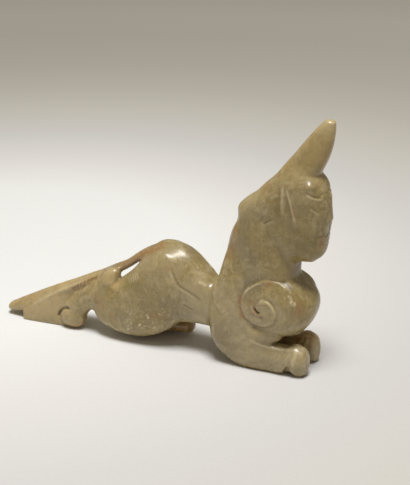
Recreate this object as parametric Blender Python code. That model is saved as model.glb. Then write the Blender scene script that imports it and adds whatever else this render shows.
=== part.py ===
"""Jade carving of a crouching mythical beast, cut in one piece from a flat slab of stone.

X runs from the tail tip to the face, Y across the slab and Z up. The side with the hind leg
that is stretched back is at -Y. The origin is on the ground, under the middle of the figure.

The figure is a union of lofted forms. Every loft is a row of sections seen from the side:
a section spans from one point of the outline to the opposite one, and is rounded across the
slab as a superellipse. Incised lines are then cut into the skin of the union, and the ground
plane cuts the underside flat.
"""
import bmesh
import bpy
import numpy as np

# Driving sizes, in metres
LENGTH = 0.120          # tail tip to face
SLAB = 0.0206           # stone thickness, across the two forelegs
LINE_WIDTH = 0.0008     # half width of an incised line
LINE_DEPTH = 0.0005     # depth of an incised line

# The drawing's own units, in which every form below is given: shares of the two main sizes
DRAWN_LENGTH = 118.4
DRAWN_SLAB = 20.6
ALONG = LENGTH / DRAWN_LENGTH
ACROSS = SLAB / DRAWN_SLAB
SCALE = np.array([ALONG, ACROSS, ALONG])

# Working of the skin
RINGS, SIDES = 40, 48       # grid of a lofted form
DOME_RINGS = 7              # rings in each of its rounded ends
ORB_RINGS, ORB_SIDES = 24, 32
GRAIN = 0.6 * ALONG         # cell of the union
FACETS = 9000               # triangles left on the finished solid
GROUND = (2.0, 4.0, 0.125)  # ground block: lengths along, slabs across, lengths thick
POLISH = 5                  # smoothing rounds over the whole skin
BLEND = 50                  # more rounds where two masses flow into each other
STEP = 0.5                  # share of the way to the neighbours' mean in a round
BLEND_CORE = 1.5            # a blend fades from its full share to none, over its outer part
BLENDS = (                  # x, y on both sides, z and reach of each such place
    (36, 7, 36, 10), (28, 8, 30, 8), (40, 8, 34, 9), (38, 7.5, 50, 10), (40, 5, 62, 8),
    (48, 4, 66, 5), (36, 9, 22, 9), (10, 6, 30, 10), (18, 7, 18, 8), (8, 7, 14, 8),
    (2, 6, 30, 9), (-18, 6, 14, 8), (-24, 5, 10, 6), (30, 9, 10, 6),
)

# Spiral on the shoulder: centre, first radius and growth for each radian
VOLUTE_CENTRE = (41.6, 22.4)
VOLUTE_RADIUS = 3.2
VOLUTE_GROWTH = 0.172
VOLUTE_START = np.radians(-200)
VOLUTE_END = np.radians(440)
VOLUTE_SLOPE = 2.6          # width of the slanting cut beside the spiral
VOLUTE_HOLLOW = 1.5         # how hollow that slant is
VOLUTE_LIP = 0.35           # width of the steep lip inside it
VOLUTE_FADES = (0.6, 0.9)   # turns, in radians, over which its two ends fade
VOLUTE_LIMIT = (30, 10.5)   # least x and z of its reach

# Share of a cut on skin that turns away: gain and offset of the normal's part along the view
FACING = (2.5, 0.4)

# Incised lines of the side view, as x and z along each line, cut on both sides
SIDE_LINES = (
    ((46.2, 65.2), (46.6, 58.5), (46.6, 51.9)),                       # back of the ear
    ((46.6, 64.6), (47.6, 61.6), (49.0, 56.6), (50.7, 51.4)),         # front of the ear
    ((53.0, 61.2), (55.5, 59.9), (57.8, 59.2), (60.4, 59.4)),         # brow
    ((54.9, 56.6), (56.5, 55.3), (58.4, 53.7)),                       # under the eye
    ((51.9, 9.2), (51.0, 6.5), (50.9, 2.6)),                          # toes of the forefoot
)

# The same on the side of the stretched hind leg alone
LEG_LINES = (
    ((-34.6, 3.4), (-33.8, 6.8), (-31.5, 8.9), (-28.4, 9.0)),         # toes of the hind foot
    ((-17.6, 20.4), (-15.0, 20.6), (-13.8, 22.4), (-15.2, 23.8)),     # curl of the hock
)

# Incised lines of the front view, as distance from the middle and z, cut on both halves
FACE_LINES = (
    ((0.0, 59.4), (1.4, 60.4), (3.6, 60.6), (6.0, 59.6)),             # brow
    ((0.0, 47.6), (2.0, 46.8), (3.6, 47.6), (4.4, 49.8)),             # mouth
    ((0.0, 47.6), (0.0, 50.2)),                                       # cleft under the nose
    ((0.0, 43.6), (2.0, 43.8), (3.6, 44.8)),                          # lower lip
)
FACE_DEPTH = 0.7            # share of a full line's depth
EYE = (3.3, 57.2)           # y and z of an eye
EYE_RADIUS = 1.6
TOES = (4.6, 7.4)           # y of the cuts between the toes
TOE_TOP = 9.5
TOE_ROOM = 1.0              # height above the toes that their cuts may reach


def through(rows, count):
    """Return count rows on a smooth curve that passes through the given rows."""
    rows = np.asarray(rows, float)
    if len(rows) == 2:
        return rows[0] + (rows[1] - rows[0]) * np.linspace(0, 1, count)[:, None]
    ends = np.vstack([2 * rows[0] - rows[1], rows, 2 * rows[-1] - rows[-2]])
    place = np.linspace(0, len(rows) - 1, count)
    first = np.minimum(place.astype(int), len(rows) - 2)
    t = (place - first)[:, None]
    a, b, c, d = ends[first], ends[first + 1], ends[first + 2], ends[first + 3]
    return 0.5 * (2 * b + (c - a) * t + (2 * a - 5 * b + 4 * c - d) * t ** 2
                  + (3 * b - a - 3 * c + d) * t ** 3)


def rounded(wave, square):
    """Return a cosine or sine wave made squarer, as on a superellipse."""
    return np.sign(wave) * np.abs(wave) ** (2 / square)


def skin(points, poles):
    """Return the points and faces of a closed tube of rings with a pole at each end."""
    rings, sides = points.shape[:2]
    corner = np.arange(rings - 1)[:, None] * sides
    side = np.arange(sides)[None, :]
    following = (side + 1) % sides
    walls = np.stack([corner + side, corner + following,
                      corner + sides + following, corner + sides + side], -1)
    faces = walls.reshape(-1, 4).tolist()
    first, last = rings * sides, rings * sides + 1
    top = (rings - 1) * sides
    faces += [[first, (k + 1) % sides, k] for k in range(sides)]
    faces += [[last, top + k, top + (k + 1) % sides] for k in range(sides)]
    return np.vstack([points.reshape(-1, 3), poles]), faces


def loft(rows, domes):
    """Return a closed form lofted through sections, with a dome of given height at each end.

    Each row is a section: x and z of its two edge points, y of its middle, its half width
    across the slab and its squareness.
    """
    table = through(rows, RINGS)
    middle, half = (table[:, :2] + table[:, 2:4]) / 2, (table[:, 2:4] - table[:, :2]) / 2
    rise = np.linspace(0, np.pi / 2, DOME_RINGS + 2)[1:-1]
    layers, poles = [], []
    for end, inner, height in ((0, 1, domes[0]), (-1, -2, domes[1])):
        out = middle[end] - middle[inner]
        out = out / np.linalg.norm(out) * height
        layers.append(np.column_stack([
            middle[end] + np.sin(rise)[:, None] * out,
            np.cos(rise)[:, None] * half[end],
            np.full(len(rise), table[end, 4]),
            np.cos(rise) * table[end, 5],
            np.full(len(rise), table[end, 6])]))
        poles.append([middle[end][0] + out[0], table[end, 4], middle[end][1] + out[1]])
    body = np.column_stack([middle, half, table[:, 4:]])
    body = np.vstack([layers[0][::-1], body, layers[1]])
    turn = np.linspace(0, 2 * np.pi, SIDES, endpoint=False)[None, :]
    square = body[:, 6, None]
    reach, width = rounded(np.cos(turn), square), rounded(np.sin(turn), square)
    points = np.stack([body[:, 0, None] + body[:, 2, None] * reach,
                       body[:, 4, None] + body[:, 5, None] * width,
                       body[:, 1, None] + body[:, 3, None] * reach], -1)
    return skin(points, np.array(poles))


def orb(centre, radii, square):
    """Return a rounded cushion about a centre, with its poles on the sides of the slab."""
    rise = np.linspace(-np.pi / 2, np.pi / 2, ORB_RINGS + 2)[1:-1, None]
    turn = np.linspace(0, 2 * np.pi, ORB_SIDES, endpoint=False)[None, :]
    ring = rounded(np.cos(rise), square)
    points = np.stack([ring * rounded(np.cos(turn), square) * radii[0],
                       rounded(np.sin(rise), square) * radii[1] + 0 * turn,
                       ring * rounded(np.sin(turn), square) * radii[2]], -1)
    poles = np.array([[0, -radii[1], 0], [0, radii[1], 0]])
    return skin(points + centre, poles + centre)


def head_and_neck():
    """Return the crest, the head, the neck and the chest."""
    crest = loft([
        (33, 54.5, 54, 59, 0, 6.2, 2.6),
        (38.3, 60.4, 56.0, 65.6, 0, 5.2, 2.8),
        (44.8, 67.8, 58.0, 70.4, 0, 4.0, 2.9),
        (49.8, 74.4, 59.4, 75.2, 0, 3.2, 2.8),
        (53.7, 79.2, 59.9, 79.2, 0, 2.5, 2.6),
        (56.0, 81.8, 59.9, 81.2, 0, 1.9, 2.4)], (2, 1.3))
    head = loft([
        (46, 38.0, 54.6, 38.0, 0, 5.0, 2.4),
        (38, 41.5, 57.9, 40.9, 0, 7.2, 2.5),
        (35, 47, 59.0, 46.4, 0, 8.1, 2.6),
        (34.5, 52.5, 59.3, 52.0, 0, 8.3, 2.6),
        (36, 58, 59.0, 58.2, 0, 8.1, 2.6),
        (40, 62.5, 57.8, 63.0, 0, 7.2, 2.5),
        (44.5, 66.0, 55.6, 66.0, 0, 5.2, 2.3)], (1.0, 1.2))
    neck = loft([
        (25.5, 21, 50, 20, 0, 9.3, 2.9),
        (25.1, 27, 50, 27, 0, 9.2, 2.9),
        (25.7, 33, 49.0, 33, 0, 8.8, 2.9),
        (26.5, 39, 49.3, 39, 0, 8.3, 2.9),
        (28.1, 44.6, 50, 45, 0, 8.0, 2.8),
        (29.9, 49, 50, 50, 0, 7.6, 2.7),
        (30.1, 53.2, 50, 56, 0, 7.0, 2.5),
        (37.0, 58.9, 50, 62, 0, 6.0, 2.4)], (2, 1))
    chest = loft([
        (32, 12.8, 52.0, 12.8, 0, 6.6, 2.5),
        (29, 17.4, 55.2, 17.3, 0, 9.0, 2.8),
        (28, 22.3, 56.7, 22.2, 0, 9.6, 2.8),
        (28, 26.5, 55.9, 26.4, 0, 9.5, 2.8),
        (28, 30.5, 52.2, 30.5, 0, 9.0, 2.8),
        (29, 34.5, 48.4, 34.7, 0, 8.2, 2.7)], (1.6, 2))
    return [crest, head, neck, chest]


def foreleg(side):
    """Return the shoulder and the bent foreleg of one side, which is -1 or 1."""
    shoulder = orb((44.2, side * 4.9, 22.2), (10.6, 5.4, 10.0), 2.8)
    limb = loft([
        (27.2, 38, 38, 39, side * 4.2, 3.2, 2.6),
        (24.8, 30, 38, 32, side * 5.0, 4.2, 2.8),
        (22.8, 23, 39, 24, side * 5.4, 4.5, 2.9),
        (22.0, 16, 39, 19.0, side * 5.6, 4.6, 2.9),
        (22.6, 9.9, 38.4, 14.4, side * 5.8, 4.5, 2.9),
        (26.2, 3.9, 40.8, 11.8, side * 5.9, 4.2, 2.6),
        (33.2, -0.4, 43, 10.5, side * 5.8, 4.0, 2.2),
        (41.5, -0.6, 44.8, 9.6, side * 5.7, 3.9, 2.2),
        (48.0, -0.4, 48.6, 9.3, side * 5.7, 3.8, 2.2),
        (50.2, 1.0, 50.1, 9.9, side * 5.7, 3.8, 2.2),
        (52.3, -0.5, 51.9, 10.4, side * 5.7, 3.9, 2.1),
        (54.2, -0.2, 53.9, 9.8, side * 5.7, 3.6, 2.0)], (2, 2.1))
    return [shoulder, limb]


def body():
    """Return the waist and the rump, and the core that carries the tail."""
    waist = loft([
        (38, 31, 40, 10.5, 0, 7.2, 2.5),
        (28, 26.4, 28, 9.2, 0, 7.2, 2.4),
        (22.3, 25.6, 21.5, 9.2, 0, 6.9, 2.4),
        (18.7, 29.3, 15.5, 9.2, 0, 7.2, 2.3),
        (14.3, 33.6, 9.5, 8.6, 0, 7.5, 2.3),
        (9.6, 36.0, 4, 8, 0, 7.7, 2.2),
        (3.2, 36.3, -3, 7, 0, 7.4, 2.2),
        (-1.0, 33.0, -8, 7, 0, 6.6, 2.2),
        (-3.8, 26, -12.5, 9.5, 0, 5.6, 2.2)], (2, 2.2))
    core = loft([
        (-6, 20, -8, 8, 0.5, 5.0, 2.4),
        (-12, 18.5, -13, 8, 0.5, 5.0, 2.4),
        (-18, 17.5, -19, 9.6, 0.2, 4.8, 2.4),
        (-25, 15.5, -27, 9.0, 0, 4.5, 2.6)], (2, 1.5))
    return [waist, core]


def haunches():
    """Return the two thighs, the stretched hind leg and the folded one."""
    near_thigh = loft([
        (3, 34.9, 13, 30.5, -2.7, 5.0, 2.2),
        (-2.2, 30.8, 14.2, 23, -3.3, 6.1, 2.3),
        (-7.2, 25.2, 12.8, 14.6, -3.5, 6.2, 2.4),
        (-13.0, 20.4, 8.4, 8.0, -3.5, 6.2, 2.4),
        (-17.6, 16.4, 1.4, 3.4, -3.4, 6.0, 2.4),
        (-20.8, 12.4, -6.3, 1.6, -3.3, 5.3, 2.3),
        (-22.5, 8.9, -13.6, 2.7, -3.2, 4.0, 2.2)], (1.6, 1.0))
    far_thigh = loft([
        (3, 35.2, 13, 30.5, 2.6, 4.8, 2.2),
        (-1.2, 30.0, 14.2, 23, 3.2, 5.9, 2.3),
        (-7.0, 23, 12.8, 14.6, 3.5, 6.2, 2.4),
        (-12.0, 17.0, 8.4, 8.2, 3.5, 6.1, 2.4),
        (-15.0, 12.5, 1.2, 3.9, 3.4, 5.7, 2.4),
        (-17.0, 9.0, -6, 2.2, 3.3, 4.8, 2.3)], (1.6, 1.6))
    stretched = loft([
        (-17.8, 22.4, -12.0, 22.8, -3.3, 2.9, 2.2),
        (-19.6, 20.4, -12.2, 17.6, -3.4, 3.6, 2.2),
        (-24, 17.2, -15.8, 12.0, -3.2, 4.1, 2.2),
        (-29, 14.0, -21.4, 9.0, -3.0, 4.1, 2.2),
        (-33, 10.2, -26.0, 5.2, -3.1, 4.0, 2.2)], (2.5, 2))
    foot = orb((-30.3, -3.9, 4.7), (4.8, 3.5, 4.6), 2.3)
    folded = loft([
        (-14, 8.5, -12, 0.6, 4.9, 3.6, 2.5),
        (-7, 7.2, -6, 0.4, 5.6, 3.5, 2.5),
        (0, 6.2, 0, 0.4, 6.4, 3.3, 2.5),
        (4.8, 6.0, 4.8, 0.7, 6.8, 3.2, 2.3),
        (8.8, 6.0, 8.8, 1.0, 6.9, 3.1, 2.2)], (2, 2.2))
    return [near_thigh, far_thigh, stretched, foot, folded]


def tail():
    """Return the open strip at the root of the tail, its roof and the wedge it rests on."""
    strip = loft([
        (5, 35.8, 4.6, 31, 0, 4.8, 2.0),
        (-1.2, 33.9, -0.6, 30.0, 0, 3.8, 2.0),
        (-6.4, 30.6, -5.4, 27.6, 0, 2.8, 2.0),
        (-11.0, 27.1, -9.9, 24.3, 0, 2.7, 2.0),
        (-15.5, 24.7, -14.6, 21.4, 0, 3.2, 1.9),
        (-20.6, 22.1, -20.0, 18.0, 0, 4.1, 1.7),
        (-30.8, 17.1, -30.0, 12.8, -0.3, 4.7, 1.6),
        (-41.6, 12.1, -40.5, 6.2, -0.8, 4.7, 1.6),
        (-46.9, 9.5, -45.9, 3.0, -1.1, 4.4, 1.7),
        (-51.9, 6.9, -51.3, 1.5, -1.4, 3.8, 1.8),
        (-56.4, 4.5, -56.2, 1.1, -1.7, 2.9, 2.0)], (2, 2.2))
    wedge = loft([
        (-20.5, 19.4, -22, 13, 0, 4.2, 4.5),
        (-27, 16.6, -29.5, 6, -0.3, 4.4, 5),
        (-31.2, 14.7, -31.6, -1, -0.5, 4.5, 5),
        (-38, 11.4, -37, -1, -0.9, 4.7, 5),
        (-45.6, 7.0, -45, -1, -1.3, 4.7, 5),
        (-50.2, 4.0, -50.2, -1, -1.6, 4.5, 5)], (1, 0.3))
    return [strip, wedge]


def face():
    """Return the nose, a low wedge on the middle of the face, and the two bulging eyes."""
    nose = loft([
        (57.6, 59.8, 59.7, 59.8, 0, 1.0, 2.0),
        (57.8, 55.0, 60.0, 55.0, 0, 1.3, 2.0),
        (57.8, 51.6, 60.2, 51.4, 0, 2.8, 2.2)], (0.6, 0.6))
    eyes = [orb((57.4, side * EYE[0], EYE[1]), (1.6, EYE_RADIUS, 1.4), 2.0) for side in (-1, 1)]
    return [nose] + eyes


def mesh_of(forms):
    """Return one mesh that holds every form as its own closed shell."""
    points, faces, count = [], [], 0
    for form_points, form_faces in forms:
        points.append(form_points)
        faces += [[corner + count for corner in face] for face in form_faces]
        count += len(form_points)
    mesh = bpy.data.meshes.new("forms")
    mesh.from_pydata((np.vstack(points) * SCALE).tolist(), [], faces)
    shell = bmesh.new()
    shell.from_mesh(mesh)
    bmesh.ops.recalc_face_normals(shell, faces=shell.faces)
    shell.to_mesh(mesh)
    shell.free()
    return mesh


def evaluated(holder):
    """Return the mesh of an object as its modifiers leave it."""
    depsgraph = bpy.context.evaluated_depsgraph_get()
    return bpy.data.meshes.new_from_object(holder.evaluated_get(depsgraph))


def union(mesh):
    """Return one closed skin around all shells of a mesh."""
    holder = bpy.data.objects.new("forms", mesh)
    bpy.context.scene.collection.objects.link(holder)
    remesh = holder.modifiers.new("Union", "REMESH")
    remesh.mode = "VOXEL"
    remesh.voxel_size = GRAIN
    merged = evaluated(holder)
    bpy.data.objects.remove(holder)
    return merged


def read(collection, name, width, kind=np.float32):
    """Return a value of every item of a mesh collection as rows of the given width."""
    values = np.empty(len(collection) * width, kind)
    collection.foreach_get(name, values)
    return values.reshape(-1, width)


def smooth(points, edges, rounds, share):
    """Move points towards the mean of their neighbours, each by its share, some rounds."""
    count = len(points)
    links = np.bincount(edges.ravel(), minlength=count)[:, None]
    for _ in range(rounds):
        total = np.zeros_like(points)
        for axis in range(3):
            total[:, axis] = (
                np.bincount(edges[:, 0], points[edges[:, 1], axis], minlength=count)
                + np.bincount(edges[:, 1], points[edges[:, 0], axis], minlength=count))
        points = points + STEP * share * (total / links - points)
    return points


def blend_share(points):
    """Return how much each point takes part in the blends, from 0 to 1."""
    share = np.zeros(len(points))
    folded = points * (1, 0, 1) + np.abs(points) * (0, 1, 0)
    for x, y, z, reach in BLENDS:
        away = np.linalg.norm(folded - (x, y, z), axis=1) / reach
        share = np.maximum(share, np.clip(BLEND_CORE * (1 - away), 0, 1))
    return share[:, None]


def line_cut(spots, line):
    """Return the depth that an incised line cuts at each spot of its plane."""
    path = through(line, 8 * len(line))
    nearest = np.full(len(spots), np.inf)
    for start, end in zip(path[:-1], path[1:]):
        run = end - start
        share = np.clip((spots - start) @ run / (run @ run), 0, 1)
        away = np.linalg.norm(spots - start - share[:, None] * run, axis=1)
        nearest = np.minimum(nearest, away)
    return np.exp(-(nearest / (LINE_WIDTH / ALONG)) ** 2)


def volute_cut(spots):
    """Return the depth of the slanting cut that follows the shoulder's spiral.

    The radius grows by a fixed share with the angle. The cut is deepest at the spiral itself
    and slopes back up outwards.
    """
    offset = spots - VOLUTE_CENTRE
    radius = np.hypot(offset[:, 0], offset[:, 1]) + 1e-9
    clock = np.arctan2(offset[:, 0], offset[:, 1])
    cut = np.zeros(len(spots))
    for turn in (-1, 0, 1):
        angle = clock + 2 * np.pi * turn
        beyond = radius - VOLUTE_RADIUS * np.exp(VOLUTE_GROWTH * angle)
        slope = np.where(beyond < 0, np.exp(-(beyond / VOLUTE_LIP) ** 2),
                         np.clip(1 - beyond / VOLUTE_SLOPE, 0, 1) ** VOLUTE_HOLLOW)
        drawn = (np.clip((angle - VOLUTE_START) / VOLUTE_FADES[0], 0, 1)
                 * np.clip((VOLUTE_END - angle) / VOLUTE_FADES[1], 0, 1))
        cut = np.maximum(cut, slope * drawn)
    return cut


def ring_cut(spots, centre, radius):
    """Return the depth of a round incised ring."""
    away = np.abs(np.hypot(*(spots - centre).T) - radius)
    return np.exp(-(away / (LINE_WIDTH / ALONG)) ** 2)


def facing(parts):
    """Return the share of a cut on skin whose normals have the given parts along the view."""
    return np.clip(parts * FACING[0] - FACING[1], 0, 1)


def carving(points, normals):
    """Return how deep the skin is cut at each point, in line depths."""
    side_view, front_view = points[:, [0, 2]], points[:, [1, 2]]
    flank, front = facing(np.abs(normals[:, 1])), facing(normals[:, 0])
    near = points[:, 1] < 0
    on_shoulder = np.all(side_view > VOLUTE_LIMIT, axis=1)
    cut = flank * on_shoulder * volute_cut(side_view)
    for line in SIDE_LINES:
        cut = np.maximum(cut, flank * line_cut(side_view, line))
    for line in LEG_LINES:
        cut = np.maximum(cut, flank * near * line_cut(side_view, line))
    folded = np.abs(front_view) * (1, 0) + front_view * (0, 1)
    for line in FACE_LINES:
        cut = np.maximum(cut, FACE_DEPTH * front * line_cut(folded, line))
    cut = np.maximum(cut, front * ring_cut(folded, EYE, EYE_RADIUS))
    for middle in TOES:
        toe = line_cut(folded, ((middle, 0.0), (middle, TOE_TOP)))
        cut = np.maximum(cut, front * (points[:, 2] < TOE_TOP + TOE_ROOM) * toe)
    return cut


def ground_block():
    """Return the hidden block whose top is the ground plane."""
    bpy.ops.mesh.primitive_cube_add(size=1)
    block = bpy.context.object
    block.name = "ground_cutter"
    for vertex in block.data.vertices:
        vertex.co.x *= GROUND[0] * LENGTH
        vertex.co.y *= GROUND[1] * SLAB
        vertex.co.z = (vertex.co.z - 0.5) * GROUND[2] * LENGTH
    block.hide_render = True
    block.display_type = "WIRE"
    return block


def jade():
    """Return the material of the stone, a warm grey green."""
    material = bpy.data.materials.new("jade")
    material.use_nodes = True
    surface = material.node_tree.nodes["Principled BSDF"]
    surface.inputs["Base Color"].default_value = (0.30, 0.25, 0.15, 1)
    surface.inputs["Roughness"].default_value = 0.3
    surface.inputs["Metallic"].default_value = 0
    return material


def carve_beast():
    """Build the beast: union of the forms, blends, incised lines, facets and flat feet."""
    forms = head_and_neck() + face() + body() + haunches() + tail()
    for side in (-1, 1):
        forms += foreleg(side)
    mesh = union(mesh_of(forms))
    edges = read(mesh.edges, "vertices", 2, np.int32)
    points = read(mesh.vertices, "co", 3).astype(float)
    points = smooth(points, edges, POLISH, 1.0)
    points = smooth(points, edges, BLEND, blend_share(points / SCALE))
    mesh.vertices.foreach_set("co", points.astype(np.float32).ravel())
    mesh.update()
    normals = read(mesh.vertex_normals, "vector", 3).astype(float)
    points = points - normals * carving(points / SCALE, normals)[:, None] * LINE_DEPTH
    points[:, :2] -= (points[:, :2].max(axis=0) + points[:, :2].min(axis=0)) / 2
    mesh.vertices.foreach_set("co", points.astype(np.float32).ravel())
    mesh.update()
    beast = bpy.data.objects.new("jade_beast", mesh)
    bpy.context.scene.collection.objects.link(beast)
    thin = beast.modifiers.new("Facets", "DECIMATE")
    thin.ratio = FACETS / (2 * len(mesh.polygons))
    thin.use_collapse_triangulate = True
    level = beast.modifiers.new("Ground", "BOOLEAN")
    level.operation = "DIFFERENCE"
    level.object = ground_block()
    mesh.materials.append(jade())
    mesh.shade_smooth()
    return beast


for leftover in list(bpy.data.objects):
    bpy.data.objects.remove(leftover, do_unlink=True)
carve_beast()
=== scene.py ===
"""Looks of a small jade carving: a crouching mythical beast cut from one flat slab of stone.

X runs from the tail tip to the face, Y across the slab and Z up, with the ground at Z = 0. The
forms are given in the carver's drawing, whose unit is about a millimetre of the finished stone.
The side with the hind leg that is stretched back is at -Y. The finished stone is fitted to the
box of the CAD solid that it stands for.

The stone is a union of closed numpy surfaces. It is smoothed, carved point by point with
grooves, ridges and the spiral of the shoulder, thinned and set flat on the ground. Attributes
on its points tell the finish where cuts are soiled, where edges are worn, where the stone is
stained, and where shade and highlights are painted on: shade in creases, on the neck and
under the chin, highlights along some ridges.
"""

import logging
from dataclasses import dataclass, fields, replace
from enum import Enum

import bmesh
import bpy
import numpy as np
from mathutils import Matrix, Vector


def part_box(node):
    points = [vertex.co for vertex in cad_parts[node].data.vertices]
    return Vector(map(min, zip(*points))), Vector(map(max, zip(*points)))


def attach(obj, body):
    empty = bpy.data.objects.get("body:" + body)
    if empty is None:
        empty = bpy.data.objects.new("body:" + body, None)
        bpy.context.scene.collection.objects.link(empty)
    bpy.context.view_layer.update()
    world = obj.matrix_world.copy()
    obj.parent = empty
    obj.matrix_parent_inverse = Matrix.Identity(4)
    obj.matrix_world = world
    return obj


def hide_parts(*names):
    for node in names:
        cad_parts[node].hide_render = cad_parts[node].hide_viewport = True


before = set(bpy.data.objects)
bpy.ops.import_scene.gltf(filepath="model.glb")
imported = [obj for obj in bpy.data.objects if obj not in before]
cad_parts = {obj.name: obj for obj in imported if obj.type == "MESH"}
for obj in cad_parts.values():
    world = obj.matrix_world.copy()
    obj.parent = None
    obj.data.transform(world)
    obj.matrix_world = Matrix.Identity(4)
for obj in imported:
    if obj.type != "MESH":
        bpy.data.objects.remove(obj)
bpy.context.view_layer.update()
NODE = "jade_beast"
PIECE = "jade_beast_carved_stone"
BODY = "root"
PHOTO_SIZE = (410, 485)
FACING_GAIN = 2.5
FACING_LIMIT = 0.4
LINE_STEPS = 8
MOTTLE_DETAIL = 5.0
TINY = 1e-9

Array = np.ndarray
Form = tuple[Array, list[list[int]]]
Rows = tuple[tuple[float, ...], ...]
Path = tuple[tuple[float, ...], ...]
Span = tuple[float, float]
Colour = tuple[float, ...]
Socket = bpy.types.NodeSocket
Source = Socket | float | tuple[float, ...]

log = logging.getLogger("jade_beast")


class Side(Enum):
    """Side of the slab that a carved line is on, as the sign of Y."""

    NEAR = -1
    BOTH = 0


class View(Enum):
    """View in which a carved line is drawn, as the two axes of its plane and the one it faces."""

    SIDE = (0, 2, 1)
    FRONT = (1, 2, 0)


class Tint(Enum):
    """Kind of stain in the stone, by the name of its attribute; the deep tint is also painted
    shade.
    """

    TAN = "tan"
    RUST = "rust"
    MOSS = "moss"
    CHALK = "chalk"
    # Deeper olive stain that also paints shade on the neck, under the chin, on the chest front,
    # at the crest's foot, on the lower thigh and on the far foot.
    DEEP = "deep"
    LIGHT = "light"


@dataclass(frozen=True)
class Noise:
    """Noise: features for each metre, levels of detail, share of the finer ones and warp."""

    scale: float
    detail: float
    rough: float = 0.5
    warp: float = 0.0


@dataclass(frozen=True)
class Mottling:
    """Cloudy mask that a noise makes.

    It holds the clouds for each metre, the noise at which the mask starts and is full, the
    share of the finer clouds and how much the clouds are drawn out.
    """

    scale: float
    low: float
    high: float
    rough: float = 0.5
    warp: float = 0.6


def paint(red: float, green: float, blue: float) -> Colour:
    """Return a colour given in display values from 0 to 255 as the linear one that nodes use."""
    shown = np.array((red, green, blue)) / 255
    linear = np.where(shown <= 0.04045, shown / 12.92, ((shown + 0.055) / 1.055) ** 2.4)
    return (*(float(value) for value in linear), 1.0)


def through(rows: Rows | Array, count: int) -> Array:
    """Follow a smooth curve through the given rows.

    Each stretch between two rows is the Catmull-Rom cubic: it passes through both and runs at
    each of them in parallel to the line between that row's two neighbours.

    Args:
        rows: Points that the curve passes through.
        count: Number of points to return, evenly spaced in the parameter.

    Returns:
        The points on the curve, one in a row.
    """
    table = np.asarray(rows, float)
    if len(table) == 2:
        return table[0] + (table[1] - table[0]) * np.linspace(0, 1, count)[:, None]
    ends = np.vstack([2 * table[0] - table[1], table, 2 * table[-1] - table[-2]])
    place = np.linspace(0, len(table) - 1, count)
    first = np.minimum(place.astype(int), len(table) - 2)
    t = (place - first)[:, None]
    a, b, c, d = (ends[first + step] for step in range(4))
    return 0.5 * (2 * b + (c - a) * t + (2 * a - 5 * b + 4 * c - d) * t ** 2
                  + (3 * b - a - 3 * c + d) * t ** 3)


def rounded(wave: Array, square: Array | float) -> Array:
    """Return a sine or cosine raised, with its sign kept, to the power 2 / square."""
    return np.sign(wave) * np.abs(wave) ** (2 / square)


def closed_tube(points: Array, poles: Array) -> Form:
    """Join rings of points into a closed tube.

    Ring i and ring i + 1 are joined side by side with quads, and each end ring is joined to
    its pole with triangles.

    Args:
        points: Grid of points, ring by ring.
        poles: First and last pole.

    Returns:
        The points in one list, and the faces.
    """
    rings, sides = points.shape[:2]
    corner = np.arange(rings - 1)[:, None] * sides
    side = np.arange(sides)[None, :]
    following = (side + 1) % sides
    walls = np.stack([corner + side, corner + following,
                      corner + sides + following, corner + sides + side], -1)
    faces = walls.reshape(-1, 4).tolist()
    first, last, top = rings * sides, rings * sides + 1, (rings - 1) * sides
    faces += [[first, (k + 1) % sides, k] for k in range(sides)]
    faces += [[last, top + k, top + (k + 1) % sides] for k in range(sides)]
    return np.vstack([points.reshape(-1, 3), poles]), faces


@dataclass(frozen=True)
class Loft:
    """Closed form lofted through sections that cross the side view.

    A row holds x and z of the section's two edge points, y of its middle, its half width and
    its squareness. The domes are the heights of the two rounded ends.
    """

    rows: Rows
    domes: tuple[float, float]
    rings: int = 70
    sides: int = 72
    dome_rings: int = 9

    def form(self, side: int = 1) -> Form:
        """Work out the surface.

        At turn t a section's point lies at middle + half span * cos t in the side view and at
        middle + half width * sin t across the slab, with both waves made squarer. A dome's
        rings shrink with the cosine of an angle while they move out with its sine.

        Args:
            side: Sign that Y is multiplied by.

        Returns:
            The points and faces of the closed surface.
        """
        table = through(self.rows, self.rings)
        middle = (table[:, :2] + table[:, 2:4]) / 2
        half = (table[:, 2:4] - table[:, :2]) / 2
        rise = np.linspace(0, np.pi / 2, self.dome_rings + 2)[1:-1, None]
        layers, poles = [], []
        for end, inner, height in ((0, 1, self.domes[0]), (-1, -2, self.domes[1])):
            out = middle[end] - middle[inner]
            out = out / np.linalg.norm(out) * height
            still = np.ones_like(rise)
            layers.append(np.hstack([
                middle[end] + np.sin(rise) * out, np.cos(rise) * half[end],
                still * table[end, 4], np.cos(rise) * table[end, 5], still * table[end, 6]]))
            poles.append([middle[end][0] + out[0], table[end, 4], middle[end][1] + out[1]])
        body = np.column_stack([middle, half, table[:, 4:]])
        body = np.vstack([layers[0][::-1], body, layers[1]])[:, None, :]
        turn = np.linspace(0, 2 * np.pi, self.sides, endpoint=False)[None, :]
        reach = rounded(np.cos(turn), body[..., 6])
        width = rounded(np.sin(turn), body[..., 6])
        points = np.stack([body[..., 0] + body[..., 2] * reach,
                           body[..., 4] + body[..., 5] * width,
                           body[..., 1] + body[..., 3] * reach], -1)
        mirror = (1, side, 1)
        return closed_tube(points * mirror, np.array(poles) * mirror)


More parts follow.
